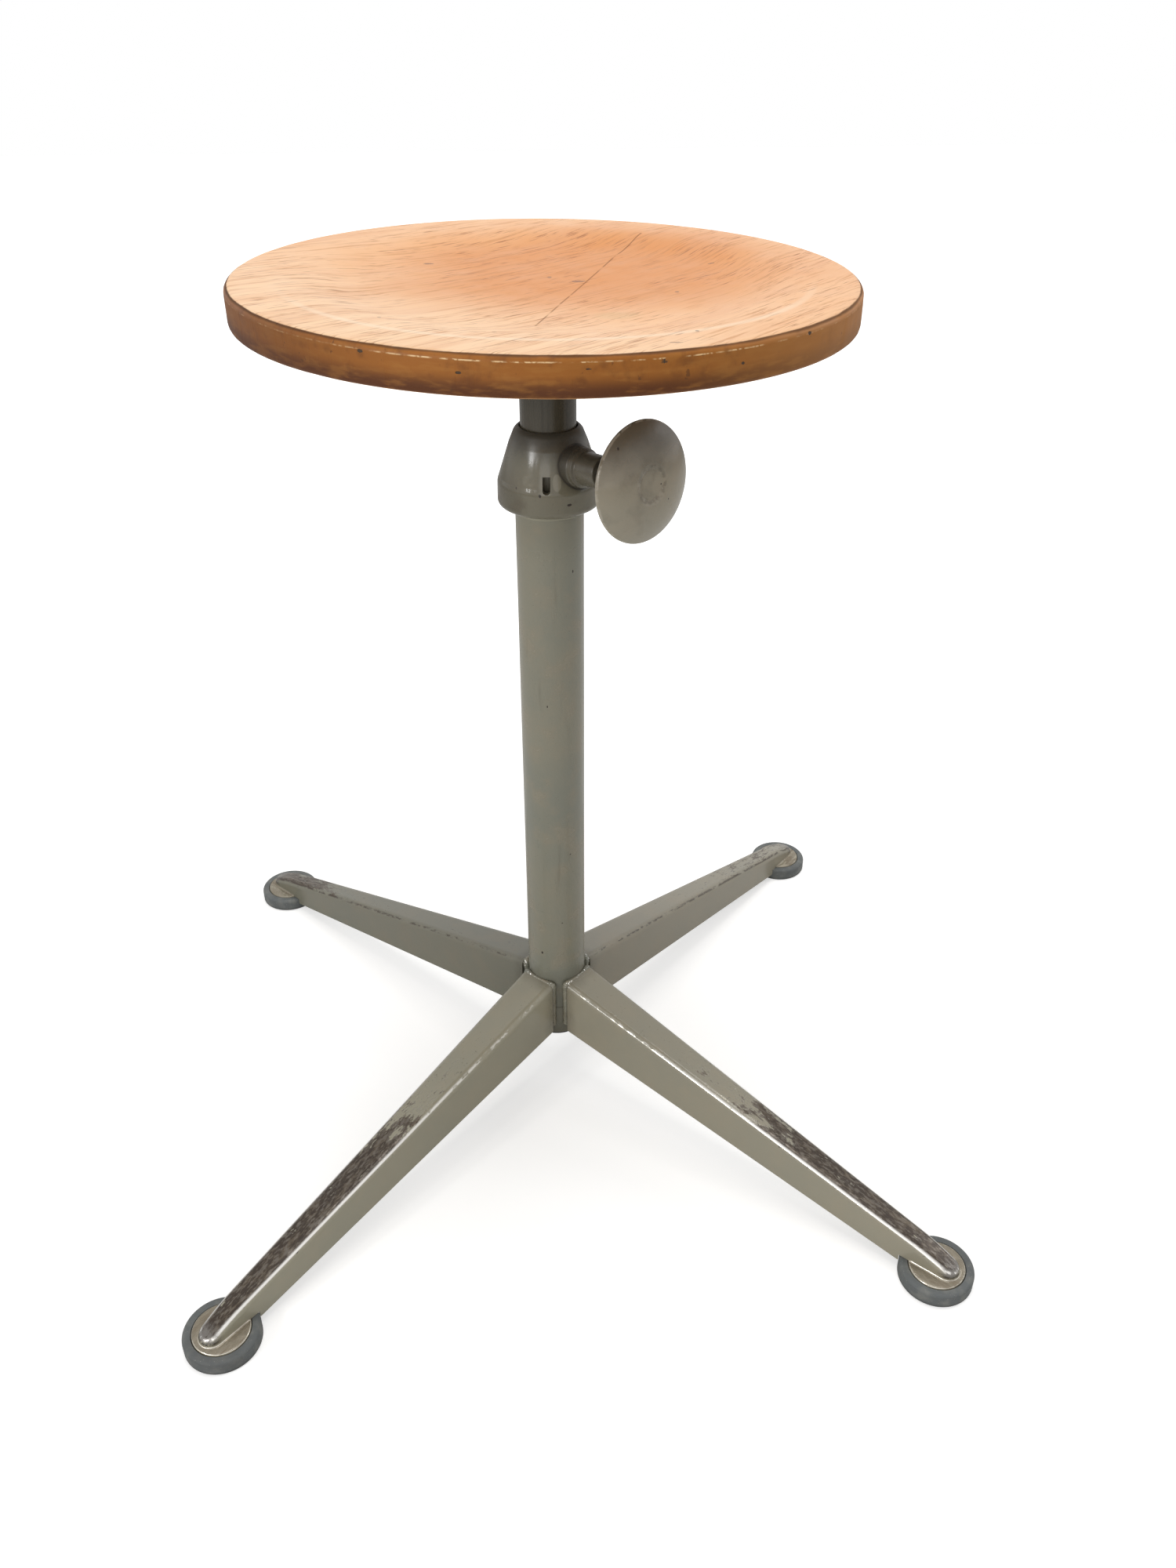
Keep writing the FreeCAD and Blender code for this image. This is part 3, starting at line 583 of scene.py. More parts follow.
# %% [markdown]
# ## Enamel on the knob
# The knob is a pressed disc. Its face has small marks, a chip on the shoulder and a rim that
# fingers have polished, its pale line partly a painted highlight. Painted shade and a painted dark
# reflection of the board darken its upper part, and painted shade lies on the back of the disc.
# The shallow ring near its centre gathers a little dirt.

# %% Knob finish
knob_chips = [
    (32.2, -78.3, 520.5, 0.9, (1, 1, 1.5)),
    (57.9, -67.5, 495.9, 0.5),
    (62.6, -65.1, 486.3, 0.45),
    (49.0, -73.0, 473.0, 0.4),
]
ring_radius = 9.6 * MM
rim_radius = 34.3 * MM


def knob_enamel():
    coat = enamel_ground("enamel_knob", 60.0, gloss=0.07)
    radius, along = from_clamp_axis(coat)
    tint(coat, 0.7, paint(166, 158, 140))
    cloud = coat.noise(70, 4, 3.0)
    # Painted shade and a painted dark reflection of the board's underside over the knob's upper
    # part.
    dirt_and_shade(coat, (coat.z + (cloud - 0.5) * 14 * MM).rise_mm(496, 524) * 0.76, paint(60, 52, 39))
    dirt_and_shade(coat, cloud.rise(0.50, 0.68) * 0.20, paint(94, 88, 74))
    broken = coat.noise(300, 3, 2.0)
    ring = (radius - ring_radius).size().rise_mm(2.4, 0.4) * along.rise_mm(85, 88)
    dirt_and_shade(coat, ring * broken.rise(0.42, 0.60) * 0.4)
    # Pale rim line: polish from fingers together with a painted highlight along the edge.
    rim = (radius - rim_radius).size().rise_mm(0.7, 0.1)
    worn = rim * coat.noise(260, 3, 6.0).rise(0.42, 0.55)
    tint(coat, worn * 0.5, paint(190, 184, 170))
    # Painted shade on the back of the disc, behind its rim.
    shade_behind_rim = along.rise_mm(79, 76)
    dirt_and_shade(coat, shade_behind_rim * 0.75, paint(40, 33, 26))
    chip(coat, coat.spots(knob_chips))
    light_dot = coat.distance((44.9, -71.0, 524.0)).rise_mm(0.9, 0.5)
    tint(coat, light_dot * 0.7, paint(205, 198, 182))
    coat.height = coat.height + coat.noise(300, 2, 12.0) * 0.16
    return enamel_done(coat)


# %% [markdown]
# ## Enamel on the legs
# Shoes have rubbed the legs. Near the tube the paint is nearly whole, with grime and painted shade
# at the weld, and towards the feet the upper face goes to a patchy chocolate brown, with bright
# steel along the two rounded ridges and at the nose; on the front legs that steel also stands for
# the ridges' highlight. Each leg's paint is toned lighter or darker as painted light and shade.
# All legs lie on the diagonals, so one sum gives the length along any of them, and
# the way a face points tells the ridge from the flat sides.

# %% Leg finish
chocolate = paint(56, 44, 33)
chocolate_light = paint(104, 92, 76)
dark_steel = paint(122, 118, 114)


def leg_enamel(name, seed, start, end, loss, sparkle, lighting_tone):
    """One leg's finish: paint goes between two lengths along it, and loss says how completely."""
    coat = enamel_ground(name, seed, gloss=0.14)
    # Painted light and shade: each leg's enamel is toned lighter or darker by how the light falls
    # on it.
    tint(coat, 0.7, lighting_tone)
    along = (coat.x.size() + coat.y.size()) / math.sqrt(2)
    across = (coat.x.size() - coat.y.size()) / math.sqrt(2)
    top = coat.facing_up.rise(0.50, 0.80)
    ridge = (coat.facing_up - 0.70).size().rise(0.20, 0.05)
    towards_foot = along.rise_mm(start, end)
    coarse_place = coat.vector(along * 55, across * 190, coat.z * 60)
    blotch = coat.noise(1, 5, seed + 4, at=coarse_place, rough=0.66)
    fine_place = coat.vector(along * 190, across * 640, coat.z * 300)
    fine = coat.noise(1, 4, seed + 6, at=fine_place, rough=0.6)
    worn = blotch * 0.7 + fine * 0.3 + towards_foot * loss
    lost = worn.rise(0.68, 0.735) * top
    brown = coat.mix((fine * 0.6 + blotch * 0.4).rise(0.44, 0.60), chocolate, chocolate_light)
    speck = coat.noise(420, 3, seed + 8).rise(0.64, 0.69) * along.rise_mm(start - 60, end)
    chip(coat, (speck * coat.facing_up.rise(0.2, 0.6)).least(1.0))
    chip(coat, lost, brown)
    coat.roughness = coat.roughness - lost * 0.14
    coat.metal = lost * 0.25
    glints = (worn + fine * 0.2).rise(0.70, 0.80) * top * fine.rise(0.50, 0.62)
    bare(coat, glints * 0.45, dark_steel)
    outward = along.rise_mm(40, 230)
    edge_wear = fine * 0.55 + blotch * 0.45 + outward * 0.20 * sparkle
    line = (edge_wear.rise(0.50, 0.56) * ridge).least(1.0)
    # On the front legs the bright steel line is worn steel and also a painted highlight along the
    # ridge.
    if sparkle > 0.5:
        bare(coat, line * (0.40 + outward * 0.55), bright_steel)
    else:
        dirt_and_shade(coat, line * 0.75, chocolate)
    past_foot = along - foot_from_axis
    nose = past_foot.rise_mm(2, 11) * coat.z.rise_mm(12.4, 14)
    bare(coat, nose * fine.rise(0.36, 0.52) * 0.9, dark_steel)
    low_edge = (coat.z - (leg_top_height["hub"] - 46 * MM) + along * 0.149).rise_mm(4, 1)
    dirt_and_shade(coat, low_edge * blotch.rise(0.4, 0.6) * 0.45)
    # Grime and painted shade where the leg meets the tube.
    near_weld = (along + blotch * 12 * MM).rise_mm(40, 27)
    dirt_and_shade(coat, near_weld * 0.32)
    cup = past_foot.rise_mm(-19, -16) * coat.z.rise_mm(13.0, 11.9)
    tint(coat, cup * 0.5, paint(188, 178, 156))
    dirt_and_shade(coat, cup * blotch.rise(0.50, 0.62) * 0.5, paint(104, 90, 70))
    coat.roughness = coat.roughness.most(0.10)
    return enamel_done(coat)


# The last colour of each row is the leg's tone of painted light and shade, lighter at the front.
leg_wear_and_lighting = {
    "front_left": (80, 235, 0.33, 1.0, paint(180, 174, 152)),
    "front_right": (70, 260, 0.32, 1.0, paint(174, 167, 147)),
    "rear_right": (120, 330, 0.20, 0.3, paint(158, 151, 134)),
    "rear_left": (200, 300, 0.26, 0.2, paint(118, 116, 102)),
}
print("leg finishes to make:", len(leg_wear_and_lighting))

# %% [markdown]
# ## Lacquered plywood
# The board is turned from plywood and lacquered. Its top veneer is light, turning to golden orange
# where the dish has taken the most rubbing, and its grain fans out from left to right. Fine dark
# pores follow the grain. One long scratch crosses the middle and a few dark marks lie beside it.
# The grain is a sum: a coordinate across the grain whose slope grows from one side to the other.
# Noise stretched along that coordinate gives pores and bands that follow the same fan. The board
# leans by under a degree on its plate, so heights on its rim are measured from the leaning top.

# %% Board top marks, in millimetres from the board's centre
board_lean = (-0.0092, 0.0087)
scratch_points = [(-12.6, -96.4), (5.2, -43.3), (27.2, 18.2), (49.0, 78.4), (69.9, 118.2)]
dark_marks = [
    (19.0, 9.0, 589.0, 1.5, (2.6, 1.3, 9)),
    (-65.5, 58.5, 590.0, 1.3, (2.2, 1.2, 9)),
    (3.5, 21.0, 589.0, 1.4, (1, 1, 9)),
    (70.6, -22.3, 589.0, 1.3, (1, 1, 9)),
    (61.6, -135.5, 596.0, 1.1, (1, 1, 9)),
    (-88.8, -94.6, 595.0, 1.1, (1, 1, 9)),
    (48.0, -156.0, 596.0, 0.9, (3.5, 0.9, 9)),
    (-34.0, -128.0, 594.0, 0.9, (1.6, 1, 9)),
    (102.0, 44.0, 590.0, 0.9, (2.4, 1, 9)),
]
edge_chips = [
    (41.6, -171.5, 589.5, 1.7, (1.5, 1, 0.9)),
    (-96.0, -146.0, 591.5, 1.2, (1.4, 1.2, 0.7)),
    (118.0, -129.5, 590.5, 1.1, (1.3, 1.3, 0.8)),
    (6.0, -175.0, 588.0, 0.8, (2.2, 1, 0.7)),
    (-52.0, -167.0, 586.0, 0.8, (1.8, 1, 0.8)),
    (80.0, -155.5, 584.0, 0.7, (1.5, 1, 1)),
]
board_shades = {
    "cream": paint(250, 209, 166),
    "peach": paint(243, 190, 140),
    "gold": paint(218, 138, 62),
    "fleck": paint(194, 126, 66),
    "pore": paint(150, 84, 36),
    "side": paint(170, 104, 36),
    "side_light": paint(186, 124, 54),
    "side_dark": paint(96, 50, 12),
    # Darker brown for the rim's left end: painted shade.
    "side_left": paint(82, 44, 16),
    "grime": paint(42, 23, 9),
    "glint": paint(255, 216, 160),
}


def segment_distance(coat, first, last):
    """Distance in plan from a straight scratch between two points."""
    ax, ay = first[0] * MM, first[1] * MM
    bx, by = last[0] * MM, last[1] * MM
    length = math.hypot(bx - ax, by - ay)
    ux, uy = (bx - ax) / length, (by - ay) / length
    from_x = coat.x - ax
    from_y = coat.y - ay
    along = from_x * ux + from_y * uy
    beyond = (along - length).most(0 - along).most(0.0)
    across = (from_x * -uy + from_y * ux).size()
    return across + beyond


# %% Board top


def board_grain(coat):
    """Two coordinates that follow the fan of the veneer: one along the grain, one across it."""
    slope, spread = 0.83, 0.95
    sway = (coat.noise(9, 2, 3.0) - 0.5) * 10 * MM
    across = coat.y - coat.x * slope - coat.x * coat.x * spread + sway
    along = coat.x + coat.y * slope
    return along, across


def board_top_color(coat, along, across, radius):
    shade = board_shades

    def streaks(stretch, count, seed, detail=3):
        place = coat.vector(along * stretch, across * count, 0.0)
        return coat.noise(1, detail, seed, at=place, rough=0.6)

    near_left = (coat.x * -0.9 - coat.y).rise_mm(30, 170)
    cloud = (coat.noise(14, 3, 12.0) - 0.5) * 70 * MM
    gold = (coat.distance((30, 40, 590), (1.15, 0.95, 9)) + cloud).rise_mm(150, 50)
    flecks = streaks(16, 300, 4.5).rise(0.52, 0.68)
    pores = streaks(44, 760, 7.5, 2).rise(0.55, 0.68) * coat.noise(20, 2, 9.0).rise(0.30, 0.56)
    towards_front = (coat.y * -1).rise_mm(20, 110)
    # Painted highlight: a pale band along the front of the dish's border, where the flat rim
    # catches the light.
    dish_edge_highlight = (radius - dish_radius).size().rise_mm(3.5, 0.5) * towards_front
    smudge = coat.distance((30.6, -75.6, 590), (1.3, 0.9, 9)).rise_mm(13, 5)
    scratch = None
    for first, last in zip(scratch_points, scratch_points[1:]):
        part = segment_distance(coat, first, last)
        scratch = part if scratch is None else scratch.least(part)
    scratch = scratch.rise_mm(0.65, 0.25) * coat.noise(70, 2, 2.0).rise(0.30, 0.48)
    top = coat.layers(
        shade["peach"],
        (near_left, shade["cream"]),
        (gold * 0.95, shade["gold"]),
        (streaks(5, 60, 1.5).rise(0.40, 0.66) * 0.35, paint(222, 156, 104)),
        (flecks * 0.55, shade["fleck"]),
        (pores * 0.75, shade["pore"]),
        (dish_edge_highlight * 0.45, paint(255, 232, 204)),
        (smudge * 0.18, paint(188, 172, 118)),
        (scratch * 0.6, paint(110, 62, 28)),
        (coat.spots(dark_marks, 0.5) * 0.7, paint(92, 54, 30)),
    )
    return top, pores.most(flecks * 0.5), scratch


# %% Board rim and the whole board finish


def board_rim_color(coat, radius, drop):
    """The turned rim: brown layers, grime with a painted dark reflection over the edge, a thin
    painted highlight line under it, and painted light and shade at its ends.
    """
    shade = board_shades
    around = coat.vector(coat.x * 60, coat.y * 60, drop * 300)
    layers = coat.noise(1, 3, 5.0, at=around, rough=0.55)
    mottle = coat.noise(110, 4, 3.3)
    wander = (coat.noise(40, 3, 6.0) - 0.5) * 1.4 * MM
    broken = coat.noise(110, 3, 8.0).rise(0.42, 0.58) * coat.noise(420, 2, 5.0).rise(0.36, 0.56)
    # Grime together with a painted dark reflection over the rounded top edge.
    grime = (drop + wander).rise_mm(1.9, 0.8)
    lit_part = coat.x.rise_mm(-120, -60) * coat.x.rise_mm(110, 70)
    # Painted highlight: a thin broken line low on the rounded edge, strongest at the front.
    glint = (drop - 3.3 * MM + wander * 0.3).size().rise_mm(0.45, 0.15) * broken
    glint = glint * (lit_part * 0.75 + 0.2)
    side = coat.layers(
        shade["side"],
        (drop.rise_mm(8, 17), shade["side_dark"]),
        (layers.rise(0.46, 0.66) * 0.40, shade["side_light"]),
        (mottle.rise(0.50, 0.72) * 0.45, shade["side_dark"]),
        # Painted reflection paler towards the right end, then painted shade darker towards the
        # left end.
        (coat.x.rise_mm(30, 140) * 0.55, shade["side_light"]),
        (coat.x.rise_mm(-70, -160) * 0.55, shade["side_left"]),
        (grime * 0.72, shade["grime"]),
        (glint, shade["glint"]),
        (coat.noise(260, 3, 4.4).rise(0.66, 0.72) * 0.5, paint(70, 42, 20)),
    )
    return side, glint, grime


def plywood():
    coat = Finish("seat_ply")
    along, across = board_grain(coat)
    radius = coat.length(coat.vector(coat.x, coat.y, 0.0))
    drop = board_top + coat.x * board_lean[0] + coat.y * board_lean[1] - coat.z
    top, pores, scratch = board_top_color(coat, along, across, radius)
    side, glint, grime = board_rim_color(coat, radius, drop)
    border = (coat.noise(60, 3, 14.0) - 0.5) * 1.0 * MM
    is_side = (radius + border).rise(board_radius - 2.5 * MM, board_radius - 1.8 * MM)
    under = coat.facing_up.rise(-0.6, -0.9)
    veneer = coat.mix(pores, paint(206, 156, 108), paint(168, 118, 76))
    chipped = coat.spots(edge_chips, 0.5) * is_side
    color = coat.layers(top, (is_side, side), (under, veneer), (chipped, paint(84, 66, 50)))
    dull = 0.30 + coat.noise(60, 4, 11.0) * 0.20 + is_side * (0.10 + grime * 0.25)
    dull = dull + pores * 0.12 + scratch * 0.2 + under * 0.3 + chipped * 0.3
    dull = dull - glint * is_side * 0.15
    height = coat.noise(35, 2, 4.0) * 0.16 - pores * 0.05 - scratch * 0.12 - chipped * 0.5
    return coat.finish(color, dull, 0.0, coat.bump(height, 0.7), Specular_IOR_Level=0.36)


# %% [markdown]
# ## Rubber, steel, brass and plastic
# The pads are grey-blue rubber, moulded with fine rings round their outer edge and dusty from the
# floor. The fixings are plain steel, the clamp's slug is brass, and the bush and ring are nylon.

# %% Rubber finish
ring_pitch = 1.35 * MM


def rubber():
    coat = Finish("rubber_grey")
    dust = coat.noise(130, 4, 1.0)
    base = coat.layers(
        paint(104, 108, 108),
        (dust.rise(0.40, 0.70) * 0.6, paint(140, 140, 134)),
        (coat.noise(34, 3, 5.0).rise(0.5, 0.7) * 0.5, paint(88, 90, 90)),
        (coat.z.rise_mm(3.5, 0.8) * 0.5, paint(58, 56, 52)),
        (coat.cells(420).rise(0.16, 0.05) * 0.5, paint(170, 168, 160)),
    )
    rings = (coat.z * (2 * math.pi / ring_pitch)).sum("SINE")
    on_side = coat.facing_up.size().rise(0.75, 0.3)
    height = rings * on_side * 0.06 + coat.noise(800, 3, 2.0) * 0.08
    dull = 0.52 + dust * 0.2
    return coat.finish(base, dull, 0.0, coat.bump(height, 0.8), Specular_IOR_Level=0.4)


# %% Metal and plastic finishes


def steel(name, color, seed, roughness):
    coat = Finish(name)
    marks = coat.noise(700, 3, seed)
    stain = coat.noise(160, 4, seed + 2).rise(0.45, 0.7)
    base = coat.mix(stain * 0.5, color, paint(96, 84, 70))
    dull = roughness + marks * 0.12 + stain * 0.15
    return coat.finish(base, dull, 1.0 - stain * 0.35, coat.bump(marks * 0.05, 0.6))


def plastic(name, color, seed, roughness):
    coat = Finish(name)
    wear = coat.noise(240, 4, seed)
    worn_color = (*(value * 0.6 for value in color[:3]), 1.0)
    base = coat.mix(wear.rise(0.4, 0.7) * 0.35, color, worn_color)
    bend = coat.bump(coat.noise(1200, 2, seed) * 0.03, 0.5)
    return coat.finish(base, roughness + wear * 0.1, 0.0, bend)


# %% Make every finish once
finishes = {
    "enamel_column": column_enamel(),
    "enamel_head": head_enamel(),
    "enamel_knob": knob_enamel(),
    "enamel_post": post_enamel(),
    "enamel_weld": plain_enamel("enamel_weld", 80.0, darker=0.3, pits=0.10),
    "enamel_bracket": plain_enamel("enamel_bracket", 90.0, darker=0.15),
    "seat_ply": plywood(),
    "rubber_grey": rubber(),
    "screw_steel": steel("screw_steel", paint(168, 166, 160), 100.0, 0.34),
    "pin_steel": steel("pin_steel", paint(190, 190, 188), 110.0, 0.28),
    "brass_pad": steel("brass_pad", paint(206, 172, 108), 120.0, 0.30),
    "bush_nylon": plastic("bush_nylon", paint(205, 198, 178), 130.0, 0.45),
    "plug_black": plastic("plug_black", paint(42, 42, 44), 140.0, 0.50),
}
for name, wear in leg_wear_and_lighting.items():
    finishes["leg_" + name] = leg_enamel("enamel_leg_" + name, 200.0 + 7 * len(finishes), *wear)
print("finishes:", len(finishes))

# %% [markdown]
# ## Turning a shape
# Board, screws and washers are turned shapes: an outline of radii and heights, swept round an
# axis. Mesh code does this in a few lines, closes the poles with single points and keeps every
# face pointing outwards, so the result is a clean solid at the place where it belongs.

# %% Turned shapes


def turned(name, outline, steps, shift=None):
    """Sweeps an outline of (radius, height) pairs; shift may move each finished point."""
    mesh = bmesh.new()
    rows = []
    for radius, height in outline:
        count = 1 if radius < 1e-7 else steps
        row = []
        for step in range(count):
            angle = 2 * math.pi * step / steps
            place = Vector((radius * math.cos(angle), radius * math.sin(angle), height))
            row.append(mesh.verts.new(shift(place) if shift else place))
        rows.append(row)
    for lower, upper in zip(rows, rows[1:]):
        for step in range(steps):
            after = (step + 1) % steps
            if len(lower) == 1:
                mesh.faces.new((lower[0], upper[step], upper[after]))
            elif len(upper) == 1:
                mesh.faces.new((lower[step], upper[0], lower[after]))
            else:
                mesh.faces.new((lower[step], upper[step], upper[after], lower[after]))
    bmesh.ops.recalc_face_normals(mesh, faces=mesh.faces)
    data = bpy.data.meshes.new(name)
    mesh.to_mesh(data)
    mesh.free()
    return add_smooth(name, data)


def quarter(centre_radius, centre_height, size, start, steps=6):
    """Points of a rounded edge: a quarter circle, anticlockwise from a start in degrees."""
    points = []
    for step in range(steps + 1):
        angle = (start + 90 * step / steps) * DEG
        out, up = size * math.cos(angle), size * math.sin(angle)
        points.append((centre_radius + out, centre_height + up))
    return points


# %% [markdown]
# ## Board
# The board is the piece that everyone looks at first, so it is turned again with a rounder edge.
# Years of use have dented that edge a little, which noise copies, and the board leans by under a
# degree on its plate. Its middle stays flat on the plate, so only the part beyond the plate leans.

# %% Turned board
dish_flat = 96 * MM
dish_depth = 7 * MM
edge_round = 4.0 * MM
lower_round = 2.2 * MM


def board_outline():
    floor = board_top - dish_depth
    pull = (dish_radius - dish_flat) * 0.45
    points = [(0.0, board_bottom), (50 * MM, board_bottom), (plate_radius, board_bottom)]
    points += [(radius * MM, board_bottom) for radius in (110, 125, 140, 155, 168)]
    points += quarter(board_radius - lower_round, board_bottom + lower_round, lower_round, -90)
    points += [(board_radius, board_bottom + height * MM) for height in (4, 6.5, 9, 11.5, 14)]
    points += quarter(board_radius - edge_round, board_top - edge_round, edge_round, 0, 10)
    points += [(160 * MM, board_top)]
    shoulder = [
        (dish_radius, board_top),
        (dish_radius - pull, board_top),
        (dish_flat + pull, floor + 1.8 * MM),
        (dish_flat, floor + 0.9 * MM),
    ]
    for step in range(15):
        t = step / 14
        weights = ((1 - t) ** 3, 3 * t * (1 - t) ** 2, 3 * t * t * (1 - t), t ** 3)
        pairs = list(zip(weights, shoulder))
        points.append(tuple(sum(weight * pole[axis] for weight, pole in pairs) for axis in (0, 1)))
    for step in range(1, 8):
        t = step / 7
        points.append((dish_flat * (1 - t), floor + 0.9 * MM * (1 - t) ** 2))
    return points


def worn_and_leaning(place):
    out = Vector((place.x, place.y, 0)).length
    above = place.z > board_bottom + lower_round
    at_edge = max(0.0, min(1.0, (out - (board_radius - 6 * MM)) / (5 * MM)))
    dent = max(0.0, noise.noise(Vector((place.x, place.y, place.z * 2)) * 38) - 0.18)
    fine = noise.noise(Vector((place.x, place.y, place.z)) * 160)
    if out > 1e-6:
        place = place.copy()
        inward = at_edge * (dent * 0.9 + fine * 0.10) * MM
        place.x -= place.x / out * inward
        place.y -= place.y / out * inward
        place.z -= dent * at_edge * 0.5 * MM * above
    hold = 1.0 if above else max(0.0, min(1.0, (out - 105 * MM) / (35 * MM)))
    place.z += (place.x * board_lean[0] + place.y * board_lean[1]) * hold
    return place


board = turned("board_turned", board_outline(), 288, worn_and_leaning)
board.data.materials.append(finishes["seat_ply"])
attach(board, "seat")
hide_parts("seat_board")
print("board faces:", len(board.data.polygons))

# %% [markdown]
# ## Node trees for pieces that repeat
# Weld ripples and fixings repeat, so Geometry Nodes make them. A tree is a graph like a finish,
# with named inputs. Its result is turned into a plain mesh and the modifier goes away, because
# the export takes meshes and drops instances.

# %% Tree helper


class Tree(Graph):
    """A Geometry Nodes tree while it is being made, with named inputs."""

    def __init__(self, name, **inputs):
        super().__init__(bpy.data.node_groups.new(name, "GeometryNodeTree"))
        face = self.tree.interface
        for direction in ("OUTPUT", "INPUT"):
            face.new_socket("Geometry", in_out=direction, socket_type="NodeSocketGeometry")
        kinds = {int: "NodeSocketInt", float: "NodeSocketFloat"}
        self.values = {}
        for label, value in inputs.items():
            socket = face.new_socket(label, in_out="INPUT", socket_type=kinds[type(value)])
            self.values[socket.identifier] = value
        self.entry = self.tree.nodes.new("NodeGroupInput")

    def __getitem__(self, label):
        return Signal(self, self.entry.outputs[label])

    def copies(self, places, shape, turn):
        """The shape at every place, turned about the upright."""
        turn = self.node("FunctionNodeEulerToRotation", Euler=self.vector(0.0, 0.0, turn))
        sockets = {"Points": places, "Instance": shape, "Rotation": turn}
        return self.node("GeometryNodeInstanceOnPoints", **sockets)

    def result(self, geometry, material):
        """Ends the tree: real copies with their material."""
        real = self.node("GeometryNodeRealizeInstances", Geometry=geometry)
        done = self.node("GeometryNodeSetMaterial", Geometry=real, Material=material)
        self.node("NodeGroupOutput", Geometry=done)

    def apply(self, name, carrier):
        """Runs the tree on a carrier object and gives back one plain mesh object."""
        modifier = carrier.modifiers.new("tree", "NODES")
        modifier.node_group = self.tree
        for identifier, value in self.values.items():
            modifier[identifier] = value
        seen = carrier.evaluated_get(bpy.context.evaluated_depsgraph_get())
        data = bpy.data.meshes.new_from_object(seen)
        carrier.modifiers.remove(modifier)
        bpy.data.objects.remove(carrier)
        data.name = name
        print(name, "faces:", len(data.polygons))
        return add_smooth(name, data)


def line_carrier(name, points):
    """An object of loose edges that a tree can follow; each point is x, y, z and a thickness."""
    data = bpy.data.meshes.new(name)
    edges = [(step, step + 1) for step in range(len(points) - 1)]
    data.from_pydata([point[:3] for point in points], edges, [])
    thickness = data.attributes.new("thick", "FLOAT", "POINT")
    thickness.data.foreach_set("value", [point[3] for point in points])
    return add_object(name, data)


# %% [markdown]
# ## Welds
# Each leg is held by one bead that goes up a side wall, over the top and down the other wall. It
# fills the gap between the leg's end and the round tube, which is narrow in the middle and wide at
# the corners, so each point of the line has its own thickness. A hand-laid bead is a row of
# overlapping ripples: the tree sweeps a round section whose radius rises and falls once per
# ripple, wanders a little, and thins at both ends. The bead is then set at all four legs.

# %% Weld beads
leg_end = tube_radius + 1.4 * MM
leg_fall = (leg_top_height["hub"] - leg_top_height["foot"]) / (foot_from_axis - leg_hub_station)
bead_proud = 0.6 * MM
bead_end = 0.3 * MM
bead_taper = 2.4 * MM


def bead_line():
    """The joint of a leg that points along +X: up one side wall, over the top, down the other."""
    rising = [(19.1, -12.2, 51 + 2 * step, 2.2) for step in range(19)]
    rising += [(19.5, -12.5, 89.0, 2.4), (19.8, -12.5, 91.0, 2.6), (20.2, -12.0, 92.4, 2.6)]
    points = [tuple(value * MM for value in point) for point in rising]
    for step in range(-7, 8):
        angle = step * 4 * DEG
        gap = leg_end / math.cos(angle) - tube_radius
        thick = gap / 2 + 0.5 * MM
        middle = tube_radius + gap / 2
        x, y = middle * math.cos(angle), middle * math.sin(angle)
        leg_top = leg_top_height["hub"] - (x - leg_hub_station) * leg_fall
        points.append((x, y, leg_top - thick + bead_proud, thick))
    points += [(x * MM, -y * MM, z * MM, thick * MM) for x, y, z, thick in reversed(rising)]
    return points


weld = Tree("weld_bead", Ripple=1.7 * MM, Depth=0.26, Step=0.42 * MM, Legs=4)
bead = weld.node("GeometryNodeInputNamedAttribute", data_type="FLOAT", Name="thick")
curve = weld.node("GeometryNodeMeshToCurve", Mesh=weld["Geometry"])
curve = weld.node("GeometryNodeResampleCurve", mode="LENGTH", Curve=curve, Length=weld["Step"])
here = weld.node("GeometryNodeSplineParameter", output="Length")
total = weld.node("GeometryNodeSplineLength", output="Length")
ripples = (here / weld["Ripple"]).sum("FRACT") ** 1.6 * weld["Depth"]
wander = weld.node("ShaderNodeTexNoise", output="Fac", Scale=260.0, Detail=2.0)
to_end = here.least(total - here)
fade = ((to_end + bead_end) / bead_taper).least(1.0).sum("SQRT")
thick = (1.08 - ripples + (wander - 0.5) * 0.4) * fade * bead
curve = weld.node("GeometryNodeSetCurveRadius", Curve=curve, Radius=thick)
section = weld.node("GeometryNodeCurvePrimitiveCircle", Resolution=12, Radius=1.0)
beads = {"Curve": curve, "Profile_Curve": section, "Fill_Caps": True, "Scale": thick}
beads = weld.node("GeometryNodeCurveToMesh", **beads)
legs = weld.node("GeometryNodePoints", Count=weld["Legs"])
bearing = weld.node("GeometryNodeInputIndex") * (math.pi / 2) + math.pi / 4
beads = weld.copies(legs, beads, bearing)
weld.result(beads, finishes["enamel_weld"])
welds = weld.apply("weld_ripples", line_carrier("weld_line", bead_line()))
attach(welds, "base")
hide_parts("hub_welds")

# %% [markdown]
# ## Wood screws and washers
# Four round-headed wood screws hold the plate to the board, each on a washer. One screw with its
# washer is turned in mesh code, and the tree cuts the slot with a bar, sets four of them on their
# circle and turns each by its own amount, as screws end up when they are driven by hand.

# %% Fixings under the plate
washer_bottom = low("screw_washers").z
washer_top = high("screw_washers").z
washer_radius = 6.0 * MM
head_radius = 4.2 * MM
head_low = low("seat_screws").z
head_height = washer_bottom - head_low
screw_tip = high("seat_screws").z
shank_radius = 2.0 * MM


